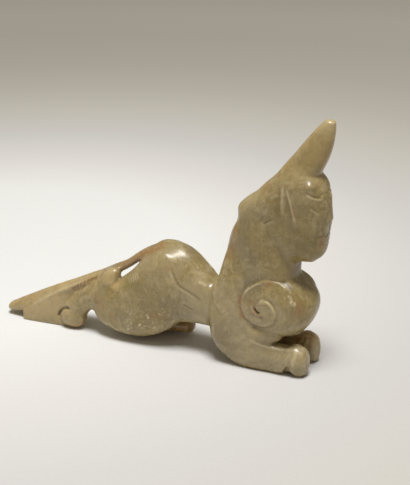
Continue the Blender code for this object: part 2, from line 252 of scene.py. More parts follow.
@dataclass(frozen=True)
class Cushion:
    """Rounded cushion about a centre, with its poles on the sides of the slab."""

    centre: tuple[float, float, float]
    radii: tuple[float, float, float]
    square: float
    rings: int = 40
    sides: int = 56

    def form(self, side: int = 1) -> Form:
        """Work out the surface.

        A superellipsoid: the point at rise r and turn t is the centre plus the radii times
        (cos r cos t, sin r, cos r sin t), with each wave made squarer.

        Args:
            side: Sign that Y is multiplied by.

        Returns:
            The points and faces of the closed surface.
        """
        rise = np.linspace(-np.pi / 2, np.pi / 2, self.rings + 2)[1:-1, None]
        turn = np.linspace(0, 2 * np.pi, self.sides, endpoint=False)[None, :]
        ring = rounded(np.cos(rise), self.square)
        points = np.stack([ring * rounded(np.cos(turn), self.square) * self.radii[0],
                           rounded(np.sin(rise), self.square) * self.radii[1] + 0 * turn,
                           ring * rounded(np.sin(turn), self.square) * self.radii[2]], -1)
        poles = np.array([[0, -self.radii[1], 0], [0, self.radii[1], 0]])
        mirror = np.array((1, side, 1))
        return closed_tube((points + self.centre) * mirror, (poles + self.centre) * mirror)


@dataclass(frozen=True)
class Part:
    """Part of the beast whose fields are its lofts and cushions."""

    def forms(self, side: int = 1) -> list[Form]:
        """Return the closed surfaces of all its lofts and cushions."""
        return [getattr(self, item.name).form(side) for item in fields(self)]


@dataclass(frozen=True)
class HeadAndNeck(Part):
    """Pointed crest, head, upright neck and swelling chest."""

    crest: Loft = Loft((
        (33, 54.5, 54, 59, 0, 6.2, 2.6),
        (38.3, 60.4, 56.0, 65.6, 0, 5.2, 2.8),
        (44.8, 67.8, 58.0, 70.4, 0, 4.0, 2.9),
        (49.8, 74.4, 59.4, 75.2, 0, 3.2, 2.8),
        (53.7, 79.2, 59.9, 79.2, 0, 2.5, 2.6),
        (56.0, 81.8, 59.9, 81.2, 0, 1.9, 2.4)), (2, 1.3))
    head: Loft = Loft((
        (45.6, 38.6, 55.9, 38.3, 0, 5.1, 2.5),
        (38, 41.5, 58.2, 40.7, 0, 7.2, 2.5),
        (35, 47, 59.0, 46.4, 0, 8.1, 2.6),
        (34.5, 52.5, 59.3, 52.0, 0, 8.3, 2.6),
        (36, 58, 59.0, 58.2, 0, 8.1, 2.6),
        (40, 62.5, 57.8, 63.0, 0, 7.2, 2.5),
        (44.5, 66.0, 55.6, 66.0, 0, 5.2, 2.3)), (1.2, 1.2))
    neck: Loft = Loft((
        (25.5, 21, 50, 20, 0, 9.3, 2.9),
        (25.1, 27, 50, 27, 0, 9.2, 2.9),
        (25.7, 33, 50.0, 33, 0, 8.8, 2.5),
        (26.5, 39, 50.4, 39, 0, 8.3, 2.5),
        (28.1, 44.6, 50, 45, 0, 8.0, 2.8),
        (29.9, 49, 50, 50, 0, 7.6, 2.7),
        (30.1, 53.2, 50, 56, 0, 7.0, 2.5),
        (37.0, 58.9, 50, 62, 0, 6.0, 2.4)), (2, 1))
    chest: Loft = Loft((
        (32, 12.8, 52.0, 12.8, 0, 6.6, 2.5),
        (29, 17.4, 55.2, 17.3, 0, 9.0, 2.8),
        (28, 22.3, 56.7, 22.2, 0, 9.6, 2.8),
        (28, 26.5, 55.6, 26.4, 0, 9.3, 2.6),
        (28, 30.5, 51.2, 30.5, 0, 8.4, 2.4),
        (29, 34.5, 47.8, 34.7, 0, 7.6, 2.4)), (1.6, 2))
    nose: Loft = Loft((
        (57.6, 59.8, 59.7, 59.8, 0, 1.0, 2.0),
        (57.8, 55.0, 60.0, 55.0, 0, 1.3, 2.0),
        (57.8, 51.6, 60.2, 51.4, 0, 2.8, 2.2)), (0.6, 0.6))


@dataclass(frozen=True)
class FaceHalf(Part):
    """Bulging eye and the pads of the muzzle on one half of the face."""

    eye: Cushion = Cushion((57.1, 3.3, 57.2), (1.6, 1.6, 1.4), 2.0)
    muzzle: Cushion = Cushion((57.2, 2.2, 49.9), (2.1, 2.2, 1.9), 2.2)
    nostril_wing: Cushion = Cushion((58.4, 1.7, 52.0), (1.4, 1.1, 1.0), 2.0)


@dataclass(frozen=True)
class Foreleg(Part):
    """Shoulder and bent foreleg of one side."""

    shoulder: Cushion = Cushion((44.2, 4.9, 22.2), (10.6, 5.4, 10.0), 2.3)
    crook: Cushion = Cushion((38.4, 5.3, 12.0), (8.6, 4.7, 2.8), 2.2)
    limb: Loft = Loft((
        (27.2, 38, 38, 39, 4.2, 3.2, 2.6),
        (24.8, 30, 38, 32, 5.0, 4.2, 2.8),
        (22.8, 23, 39, 24, 5.4, 4.5, 2.9),
        (22.0, 16, 39, 19.0, 5.6, 4.6, 2.9),
        (22.6, 9.9, 38.4, 14.4, 5.8, 4.5, 2.9),
        (26.2, 3.9, 40.8, 11.8, 5.9, 4.2, 2.6),
        (33.2, -0.4, 43, 10.5, 5.8, 4.0, 2.2),
        (41.5, -0.6, 44.8, 9.6, 5.7, 3.9, 2.2),
        (48.0, -0.4, 48.6, 9.3, 5.7, 3.8, 2.2),
        (50.2, 1.0, 50.1, 9.9, 5.7, 3.8, 2.2),
        (52.3, -0.5, 51.9, 10.4, 5.7, 3.9, 2.1),
        (54.2, -0.2, 53.9, 9.8, 5.7, 3.6, 2.0)), (2, 2.1))


@dataclass(frozen=True)
class Trunk(Part):
    """Narrow waist, arched rump and the core that carries the tail."""

    waist: Loft = Loft((
        (38, 31, 40, 10.5, 0, 7.2, 2.5),
        (28, 26.4, 28, 9.2, 0, 7.2, 2.4),
        (22.3, 25.6, 21.5, 9.2, 0, 6.9, 2.4),
        (18.7, 29.3, 15.5, 9.2, 0, 7.2, 2.3),
        (14.3, 33.6, 9.5, 8.6, 0, 7.5, 2.3),
        (9.6, 36.0, 4, 8, 0, 7.7, 2.2),
        (3.2, 36.3, -3, 7, 0, 7.4, 2.2),
        (-1.0, 33.0, -8, 7, 0, 6.6, 2.2),
        (-3.8, 26, -12.5, 9.5, 0, 5.6, 2.2)), (2, 2.2))
    core: Loft = Loft((
        (-6, 20, -8, 8, 0.5, 5.0, 2.4),
        (-12, 18.5, -13, 8, 0.5, 5.0, 2.4),
        (-18, 17.5, -19, 9.6, 0.2, 4.8, 2.4),
        (-25, 15.5, -27, 9.0, 0, 4.5, 2.6)), (2, 1.5))


@dataclass(frozen=True)
class HindLegs(Part):
    """Two thighs, the near hind leg stretched back and the far one folded under."""

    near_thigh: Loft = Loft((
        (3, 34.9, 13, 30.5, -2.7, 5.0, 2.2),
        (-2.2, 30.8, 14.2, 23, -3.3, 6.1, 2.3),
        (-7.2, 25.2, 12.8, 14.6, -3.5, 6.2, 2.4),
        (-13.0, 20.4, 8.4, 8.0, -3.5, 6.2, 2.4),
        (-17.6, 16.4, 1.4, 3.4, -3.4, 6.0, 2.4),
        (-20.8, 12.4, -6.3, 1.6, -3.3, 5.3, 2.3),
        (-22.5, 8.9, -13.6, 2.7, -3.2, 4.0, 2.2)), (1.6, 1.0))
    far_thigh: Loft = Loft((
        (3, 35.2, 13, 30.5, 2.6, 4.8, 2.2),
        (-1.2, 30.0, 14.2, 23, 3.2, 5.9, 2.3),
        (-7.0, 23, 12.8, 14.6, 3.5, 6.2, 2.4),
        (-12.0, 17.0, 8.4, 8.2, 3.5, 6.1, 2.4),
        (-15.0, 12.5, 1.2, 3.9, 3.4, 5.7, 2.4),
        (-17.0, 9.0, -6, 2.2, 3.3, 4.8, 2.3)), (1.6, 1.6))
    stretched: Loft = Loft((
        (-17.8, 22.4, -12.0, 22.8, -3.3, 2.9, 2.2),
        (-19.6, 20.4, -12.2, 17.6, -3.4, 3.6, 2.2),
        (-24, 17.2, -15.8, 12.0, -3.2, 4.1, 2.2),
        (-29, 14.0, -21.4, 9.0, -3.0, 4.1, 2.2),
        (-33, 10.2, -26.0, 5.2, -3.1, 4.0, 2.2)), (2.5, 2))
    foot: Cushion = Cushion((-30.3, -3.9, 4.7), (4.8, 3.5, 4.6), 2.3)
    folded: Loft = Loft((
        (-14, 8.5, -12, 0.6, 4.9, 3.6, 2.5),
        (-7, 7.2, -6, 0.4, 5.6, 3.5, 2.5),
        (0, 6.2, 0, 0.4, 6.4, 3.3, 2.5),
        (4.8, 6.0, 4.8, 0.7, 6.8, 3.2, 2.3),
        (8.8, 6.0, 8.8, 1.0, 6.9, 3.1, 2.2)), (2, 2.2))


@dataclass(frozen=True)
class Tail(Part):
    """Open strip at the root of the tail, its roof and the wedge that it rests on."""

    strip: Loft = Loft((
        (5, 35.8, 4.6, 31, 0, 4.8, 2.0),
        (-1.2, 33.9, -0.6, 30.0, 0, 3.8, 2.0),
        (-6.4, 30.6, -5.4, 27.6, 0, 2.8, 2.0),
        (-11.0, 27.1, -9.9, 24.3, 0, 2.7, 2.0),
        (-15.5, 24.7, -14.6, 21.4, 0, 3.2, 1.9),
        (-20.6, 22.1, -20.0, 18.0, 0, 4.1, 1.7),
        (-30.8, 17.1, -30.0, 12.8, -0.3, 4.7, 1.6),
        (-41.6, 12.1, -40.5, 6.2, -0.8, 4.7, 1.6),
        (-46.9, 9.5, -45.9, 3.0, -1.1, 4.4, 1.7),
        (-51.9, 6.9, -51.3, 1.5, -1.4, 3.8, 1.8),
        (-56.4, 4.5, -56.2, 1.1, -1.7, 2.9, 2.0)), (2, 2.2))
    wedge: Loft = Loft((
        (-20.5, 19.4, -22, 13, 0, 4.2, 4.5),
        (-27, 16.6, -29.5, 6, -0.3, 4.4, 5),
        (-31.2, 14.7, -31.6, -1, -0.5, 4.5, 5),
        (-38, 11.4, -37, -1, -0.9, 4.7, 5),
        (-45.6, 7.0, -45, -1, -1.3, 4.7, 5),
        (-50.2, 4.0, -50.2, -1, -1.6, 4.5, 5)), (1, 0.3))


def nearest_on_path(spots: Array, path: Array) -> tuple[Array, Array]:
    """Find how far each spot is from a path, and where along it the nearest place lies.

    The distance to a stretch is measured at the foot of the perpendicular, kept between the
    stretch's two ends, and the least of all stretches counts.

    Args:
        spots: Points of a plane or of space, one in a row.
        path: Corners of the path, one in a row.

    Returns:
        Distance of each spot, and its place along the path from 0 to 1.
    """
    nearest = np.full(len(spots), np.inf)
    place = np.zeros(len(spots))
    for index, (start, end) in enumerate(zip(path[:-1], path[1:])):
        run = end - start
        share = np.clip((spots - start) @ run / (run @ run), 0, 1)
        away = np.linalg.norm(spots - start - share[:, None] * run, axis=1)
        closer = away < nearest
        nearest[closer] = away[closer]
        place[closer] = (index + share[closer]) / (len(path) - 1)
    return nearest, place


@dataclass(frozen=True)
class Stroke:
    """Incised line, or a raised ridge where its depth is negative.

    The line is a smooth curve through its path in one view, and the front view mirrors it. Its
    depth falls off on both sides as a bell curve of the given half width, over as many half
    widths as bells says, and fades towards its two ends. Dirt is what it holds, or, where it is
    negative, how pale the stone is worn there. On some strokes the dark is painted shade, as on
    the throat and above the brow, and the pale is a painted highlight along a ridge.
    """

    path: Path
    depth: float = 0.45
    width: float = 0.6
    side: Side = Side.BOTH
    view: View = View.SIDE
    dirt: float = 0.8
    fade: float = 0.15
    bells: float = 3.0

    def profile(self, points: Array, normals: Array) -> Array:
        """Work out how strongly the stroke marks each point.

        The mark is exp(-(distance / width)^2), times the fade at the ends, times the share by
        which the surface faces the view.

        Args:
            points: Points of the stone.
            normals: Their normals.

        Returns:
            The share of the stroke's depth at each point, from 0 to 1.
        """
        across, up, facing = self.view.value
        spots = points[:, [across, up]]
        if self.view is View.FRONT:
            spots[:, 0] = np.abs(spots[:, 0])
        line = through(self.path, LINE_STEPS * len(self.path))
        margin = self.bells * self.width
        close = np.all((spots > line.min(0) - margin) & (spots < line.max(0) + margin), axis=1)
        if self.side is not Side.BOTH:
            close &= points[:, 1] * self.side.value > 0
        share = np.zeros(len(points))
        away, place = nearest_on_path(spots[close], line)
        ends = np.clip(np.minimum(place, 1 - place) / self.fade, 0, 1) if self.fade else 1.0
        front = normals[close, facing]
        if self.view is View.SIDE:
            front = np.abs(front)
        shown = np.clip(front * FACING_GAIN - FACING_LIMIT, 0, 1)
        share[close] = np.exp(-(away / self.width) ** 2) * ends * shown
        return share


@dataclass(frozen=True)
class Volute:
    """Spiral of the shoulder: a slanting cut that follows a spiral of growing radius.

    The slope is the width of the slanting cut and the lip that of its steep side. The fades are
    the angles in radians over which its two ends die out. The swell is a low ridge inside the
    lip, at a place and of a width counted in lips. Nothing is cut below the lowest or behind
    the rearmost place.
    """

    centre: tuple[float, float] = (41.7, 21.8)
    radius: float = 3.6
    growth: float = 0.163
    start: float = np.radians(-200)
    end: float = np.radians(440)
    slope: float = 2.4
    slope_power: float = 1.5
    lip: float = 0.33
    depth: float = 0.3
    fades: tuple[float, float] = (0.6, 1.2)
    lowest: float = 10.5
    rearmost: float = 30.0
    dirt: float = 0.35
    swell: float = 0.09
    swell_place: float = 2.4
    swell_width: float = 1.6
    swell_limit: float = 0.05

    def reach(self, points: Array, normals: Array) -> tuple[Array, Array]:
        """Work out the spiral's cut and the ridge inside it.

        At angle a, clockwise from up, the spiral's radius is radius * exp(growth * a). The cut
        is deepest at the spiral and slopes back up outwards. Inside it the stone swells a
        little towards the lip.

        Args:
            points: Points of the stone.
            normals: Their normals.

        Returns:
            Depth at each point, and how much of the cut's foot is there, from 0 to 1.
        """
        offset = points[:, [0, 2]] - self.centre
        radius = np.hypot(offset[:, 0], offset[:, 1]) + TINY
        clock = np.arctan2(offset[:, 0], offset[:, 1])
        cut, foot = np.zeros(len(points)), np.zeros(len(points))
        for turn in (-1, 0, 1):
            angle = clock + 2 * np.pi * turn
            beyond = radius - self.radius * np.exp(self.growth * angle)
            slope = np.where(beyond < 0, np.exp(-(beyond / self.lip) ** 2),
                             np.clip(1 - beyond / self.slope, 0, 1) ** self.slope_power)
            drawn = (np.clip((angle - self.start) / self.fades[0], 0, 1)
                     * np.clip((self.end - angle) / self.fades[1], 0, 1))
            off_ridge = beyond / self.lip + self.swell_place
            ridge = np.exp(-(off_ridge / self.swell_width) ** 2)
            cut = np.where(slope * drawn > np.abs(cut), slope * drawn, cut)
            raised = cut - self.swell * ridge * drawn / self.depth
            cut = np.where(cut < self.swell_limit, raised, cut)
            foot = np.maximum(foot, np.exp(-(beyond / self.lip) ** 2) * drawn)
        shown = (np.clip(np.abs(normals[:, 1]) * FACING_GAIN - FACING_LIMIT, 0, 1)
                 * (points[:, 2] > self.lowest) * (points[:, 0] > self.rearmost))
        return self.depth * cut * shown, foot * shown * self.dirt


@dataclass(frozen=True)
class Carving:
    """All carved lines of the beast."""

    volute: Volute = Volute()
    ears: tuple[Stroke, ...] = (
        Stroke(((45.4, 62.6), (45.6, 59.6), (45.9, 51.9)), 0.1, 0.35, dirt=0.2, fade=0.3),
        Stroke(((46.1, 62.8), (46.4, 59.6), (46.8, 51.6)), -0.16, 0.6, dirt=-0.5, fade=0.3),
        Stroke(((47.2, 62.0), (48.2, 58.3), (49.1, 55.0), (50.2, 51.4)), 0.14, 0.35, dirt=0.1),
        Stroke(((47.1, 62.4), (48.8, 58.3), (49.8, 55.0), (50.9, 51.2)), -0.16, 0.35, dirt=-0.6),
    )
    mane: tuple[Stroke, ...] = (
        Stroke(((42.6, 58.1), (45.0, 59.8)), -0.1, 0.45, dirt=-0.4),
        Stroke(((42.4, 57.3), (44.8, 59.0)), 0.06, 0.35, dirt=0.2),
        Stroke(((40.2, 49.6), (43.5, 52.0)), 0.1, 0.28, dirt=0.7),
        Stroke(((38.7, 49.8), (41.4, 52.6)), 0.06, 0.28, dirt=0.3),
    )
    brow: tuple[Stroke, ...] = (
        # Painted shade and highlight: the dark line is the shade above the brow's lip and the
        # pale ridge is its highlight.
        Stroke(((53.2, 61.4), (54.4, 60.7), (55.9, 60.0), (57.9, 59.5)), 0.14, 0.4, dirt=0.45),
        Stroke(((53.8, 60.5), (54.8, 59.9), (56.1, 59.3), (58.4, 58.8)), -0.16, 0.3, dirt=-0.6),
        Stroke(((54.8, 57.0), (56.0, 56.1), (57.6, 54.6)), 0.08, 0.35, dirt=0.35),
        Stroke(((55.0, 56.3), (56.3, 55.4), (57.8, 54.0)), -0.1, 0.32, dirt=-0.5),
        Stroke(((56.5, 46.9), (57.6, 47.2), (59.6, 47.3)), 0.25, 0.3, dirt=0.4),
        Stroke(((53.0, 63.2), (54.6, 63.0), (56.2, 62.4)), -0.4, 0.85, dirt=0.0, fade=0.35),
    )
    beard: tuple[Stroke, ...] = (
        Stroke(((57.2, 52.6), (57.4, 50.0), (57.0, 47.0), (56.2, 44.4)), 0.12, 0.35, dirt=0.25),
        Stroke(((54.6, 46.4), (55.8, 45.4), (57.2, 44.9)), 0.06, 0.3, dirt=0.2),
        Stroke(((54.0, 45.0), (55.2, 43.9), (56.6, 43.4)), 0.06, 0.3, dirt=-0.3),
        Stroke(((53.2, 43.6), (54.4, 42.5), (55.6, 41.9)), 0.06, 0.3, dirt=0.15),
    )
    face: tuple[Stroke, ...] = (
        Stroke(((0.0, 59.4), (1.4, 60.4), (3.6, 60.6), (5.4, 60.0)), 0.16, 0.4,
               view=View.FRONT, dirt=0.15),
        Stroke(((0.0, 47.6), (2.0, 46.8), (3.6, 47.6), (4.4, 49.8)), 0.22, 0.35,
               view=View.FRONT, fade=0, dirt=0.15),
        Stroke(((0.0, 47.6), (0.0, 50.2)), 0.25, 0.35, view=View.FRONT, fade=0, dirt=0.2),
        Stroke(((0.0, 43.6), (2.0, 43.8), (3.6, 44.8)), 0.18, 0.35, view=View.FRONT, fade=0,
               dirt=0.15),
        Stroke(((1.0, 51.4), (1.6, 51.2), (2.2, 51.6)), 0.35, 0.35, view=View.FRONT, dirt=0.4),
        Stroke(((2.8, 53.2), (3.8, 51.8), (4.4, 49.8)), 0.1, 0.35, view=View.FRONT, dirt=0.1),
        Stroke(((1.5, 55.4), (1.8, 54.0), (2.8, 53.2)), 0.1, 0.35, view=View.FRONT, dirt=0.1),
        Stroke(((0.8, 45.8), (1.2, 43.0)), 0.1, 0.3, view=View.FRONT, dirt=0.1),
        Stroke(((2.4, 45.6), (2.8, 42.8)), 0.1, 0.3, view=View.FRONT, dirt=0.1),
        Stroke(((3.9, 46.2), (4.4, 43.2)), 0.1, 0.3, view=View.FRONT, dirt=0.1),
    )
    eye_ring: tuple[Stroke, ...] = (
        Stroke(((1.8, 57.0), (2.4, 58.3), (3.6, 58.8), (4.8, 58.0), (5.6, 56.6), (4.4, 55.9),
                (3.0, 55.7), (2.2, 56.2), (1.8, 57.0)), 0.08, 0.3, view=View.FRONT, fade=0,
               dirt=0.05),
    )
    toes: tuple[Stroke, ...] = (
        Stroke(((4.6, 0.0), (4.6, 9.5)), 0.2, 0.45, view=View.FRONT, fade=0, dirt=0.2),
        Stroke(((7.1, 0.0), (7.1, 9.5)), 0.2, 0.45, view=View.FRONT, fade=0, dirt=0.2),
        Stroke(((51.9, 9.2), (51.2, 7.5), (50.8, 5.5), (50.9, 2.6)), 0.14, 0.45, dirt=0.1),
        Stroke(((52.9, 9.2), (52.4, 7.4), (52.0, 5.5), (52.1, 2.6)), -0.1, 0.45, dirt=-0.5),
        Stroke(((49.9, 3.0), (49.2, 1.6), (48.8, 0.0)), 0.7, 0.7, dirt=0.5, fade=0),
    )
    shoulder: tuple[Stroke, ...] = (
        Stroke(((36.6, 28.6), (38.0, 29.9), (40.3, 31.3)), 0.25, 0.35, dirt=0.8),
        Stroke(((46.2, 31.9), (47.8, 31.4), (49.4, 30.4), (50.8, 29.4)), 0.1, 0.32, dirt=0.8),
        Stroke(((35.0, 26.3), (36.5, 28.0), (38.3, 29.6), (40.7, 31.0)), -0.2, 0.45, dirt=-0.9),
        Stroke(((49.2, 28.3), (50.4, 27.2), (50.8, 25.8), (52.2, 24.6)), -0.05, 0.4, dirt=-0.7),
        Stroke(((50.6, 28.6), (51.2, 27.2), (51.7, 25.9)), 0.08, 0.3, dirt=0.3),
        Stroke(((39.8, 24.3), (41.4, 25.3), (43.1, 25.0), (44.7, 23.6), (46.0, 21.3)), -0.18,
               0.4, dirt=-1.0),
        # Painted highlight: pale ridge along the bottom of the spiral's inner ring.
        Stroke(((36.8, 16.9), (39.6, 16.2), (42.4, 16.8), (44.4, 18.4)), -0.1, 0.4,
               dirt=-0.5),
        Stroke(((38.4, 22.9), (38.9, 21.6), (39.8, 20.9), (41.0, 20.8)), 0.65, 0.42, dirt=1.3,
               fade=0.25),
        Stroke(((37.7, 22.9), (38.2, 21.2), (39.4, 20.1), (41.2, 19.9)), -0.2, 0.4, dirt=-0.6),
        Stroke(((55.2, 23.7), (57.6, 23.5)), 0.15, 0.25, dirt=0.9),
        # Painted shadow: a broad dark, dull band on the throat under the chin.
        Stroke(((0.0, 38.5), (0.0, 34.0)), 0.01, 3.5, view=View.FRONT, dirt=0.6, fade=0),
        # Painted shade: darkens and dulls the shoulder's top to tone down its highlight.
        Stroke(((45.5, 31.0), (48.6, 29.8), (50.4, 28.2)), 0.01, 1.4, dirt=0.3, fade=0.3),
        # Painted highlight: pale ridge where the shoulder's edge meets the waist.
        Stroke(((25.0, 28.4), (24.4, 25.4), (24.0, 22.4)), -0.2, 0.6, dirt=-0.5),
    )
    forearm: tuple[Stroke, ...] = (
        # Painted highlight: pale ridge along the forearm's top edge.
        Stroke(((36.6, 11.0), (38.2, 10.3), (40.6, 9.5), (43.2, 8.9), (46.3, 8.7), (49.3, 9.0),
                (52.2, 9.7)), -0.1, 0.42, dirt=-0.6),
    )
    flank: tuple[Stroke, ...] = (
        Stroke(((9.0, 30.0), (10.2, 28.1), (11.3, 25.6), (12.7, 23.9), (15.6, 22.3),
                (18.2, 20.8), (19.7, 19.8)), 0.1, 0.22, dirt=0.75),
        Stroke(((8.6, 29.4), (9.5, 27.4), (10.7, 24.9), (12.2, 23.1), (15.2, 21.5),
                (18.0, 20.0)), -0.07, 0.32, dirt=-0.4),
        Stroke(((12.9, 18.1), (14.8, 17.0), (16.8, 16.2)), 0.1, 0.24, dirt=0.8),
        Stroke(((8.6, 35.6), (9.0, 33.4), (10.2, 30.0)), -0.12, 2.2, dirt=0.0, fade=0.5),
        # Painted highlight: pale streak on the waist.
        Stroke(((17.8, 26.1), (19.0, 25.6), (20.6, 24.6)), -0.12, 0.4, dirt=-1.0),
        Stroke(((-6.8, 23.8), (-5.6, 22.0)), 0.2, 0.22, Side.NEAR, dirt=-0.8),
    )
    hock: tuple[Stroke, ...] = (
        Stroke(((-17.4, 18.9), (-15.2, 18.9), (-13.0, 20.3), (-12.0, 22.2), (-12.6, 24.0)),
               0.12, 0.4, Side.NEAR, dirt=0.2),
        Stroke(((-14.8, 18.6), (-12.5, 17.6), (-10.9, 17.7), (-9.8, 19.0), (-10.2, 20.8)),
               0.12, 0.4, Side.NEAR, dirt=0.25),
        Stroke(((-14.2, 6.6), (-12.8, 4.8), (-10.9, 3.6)), -0.2, 0.5, Side.NEAR, dirt=-0.6),
        Stroke(((-35.9, 3.4), (-35.5, 4.8), (-34.2, 6.6), (-32.4, 7.8), (-29.8, 8.3)),
               0.7, 0.42, Side.NEAR, dirt=1.3),
    )
    eaves: tuple[Stroke, ...] = (
        # Painted highlight: pale ridge along the eave of the tail's roof.
        Stroke(((-48.6, 4.4), (-42.7, 8.4), (-36.4, 12.6), (-30.9, 15.6), (-24.4, 19.1)),
               -0.16, 0.4, dirt=-0.55),
        Stroke(((-50.0, 5.8), (-43.9, 9.8), (-37.4, 13.8), (-31.6, 16.7), (-25.0, 20.0)),
               0.12, 0.6, dirt=0.0),
    )
    notch: Stroke = Stroke((), 0.2, 0.22, Side.NEAR, dirt=-1.0)
    notch_ends: Rows = ((-3.6, 26.6, -2.4, 24.6), (-4.4, 26.0, -3.1, 23.6),
                        (-5.2, 25.3, -4.0, 23.2), (-6.0, 24.6, -4.8, 22.6))
    tick: Stroke = Stroke((), 0.2, 0.2, fade=0.3, dirt=1.2)
    tick_starts: Path = ((-30.2, 15.0), (-29.1, 15.6), (-28.1, 16.2), (-27.0, 16.8),
                         (-25.6, 17.7), (-24.3, 18.5), (-23.2, 19.1), (-22.2, 19.6),
                         (-21.3, 20.1))
    tick_run: tuple[float, float] = (0.5, 1.3)

    def notches(self) -> tuple[Stroke, ...]:
        """Return the row of pale notches beside the slot at the root of the tail."""
        return tuple(replace(self.notch, path=(row[:2], row[2:])) for row in self.notch_ends)

    def ticks(self) -> tuple[Stroke, ...]:
        """Return the row of short cuts above the wedge of the tail."""
        run, rise = self.tick_run
        return tuple(replace(self.tick, path=((x, z - rise / 2), (x + run, z + rise / 2)))
                     for x, z in self.tick_starts)

    def strokes(self) -> tuple[Stroke, ...]:
        """Return every stroke of the beast."""
        return (self.ears + self.mane + self.brow + self.beard + self.face + self.eye_ring
                + self.toes + self.shoulder + self.forearm + self.flank + self.hock
                + self.eaves + self.notches() + self.ticks())

    def measure(self, points: Array, normals: Array) -> tuple[Array, Array]:
        """Work out the depth, soiling, pale wear, painted shade and painted highlights of all
        carved lines together.

        Grooves that cross share the deeper cut, and ridges share the higher one.

        Args:
            points: Points of the stone.
            normals: Their normals.

        Returns:
            Depth that is cut at each point, and a mark from -1 to 1: pale where worn and where a
            highlight is painted, dark in soiled cuts and where shade is painted.
        """
        depth, dirt = self.volute.reach(points, normals)
        groove, ridge = np.maximum(depth, 0), np.minimum(depth, 0)
        pale = np.zeros(len(points))
        for stroke in self.strokes():
            share = stroke.profile(points, normals)
            groove = np.maximum(groove, stroke.depth * share)
            ridge = np.minimum(ridge, stroke.depth * share)
            dirt = np.maximum(dirt, stroke.dirt * share)
            pale = np.minimum(pale, stroke.dirt * share)
        return groove + ridge, dirt + pale


@dataclass(frozen=True)
class Stain:
    """Stain that follows a path through the stone and fades with the distance from it."""

    tint: Tint
    path: Path
    reach: float
    strength: float = 1.0

    def share(self, points: Array) -> Array:
        """Return strength * exp(-(distance / reach)^2) at each point."""
        if len(self.path) == 1:
            away = np.linalg.norm(points - self.path[0], axis=1)
        else:
            away = nearest_on_path(points, np.asarray(self.path, float))[0]
        return self.strength * np.exp(-(away / self.reach) ** 2)


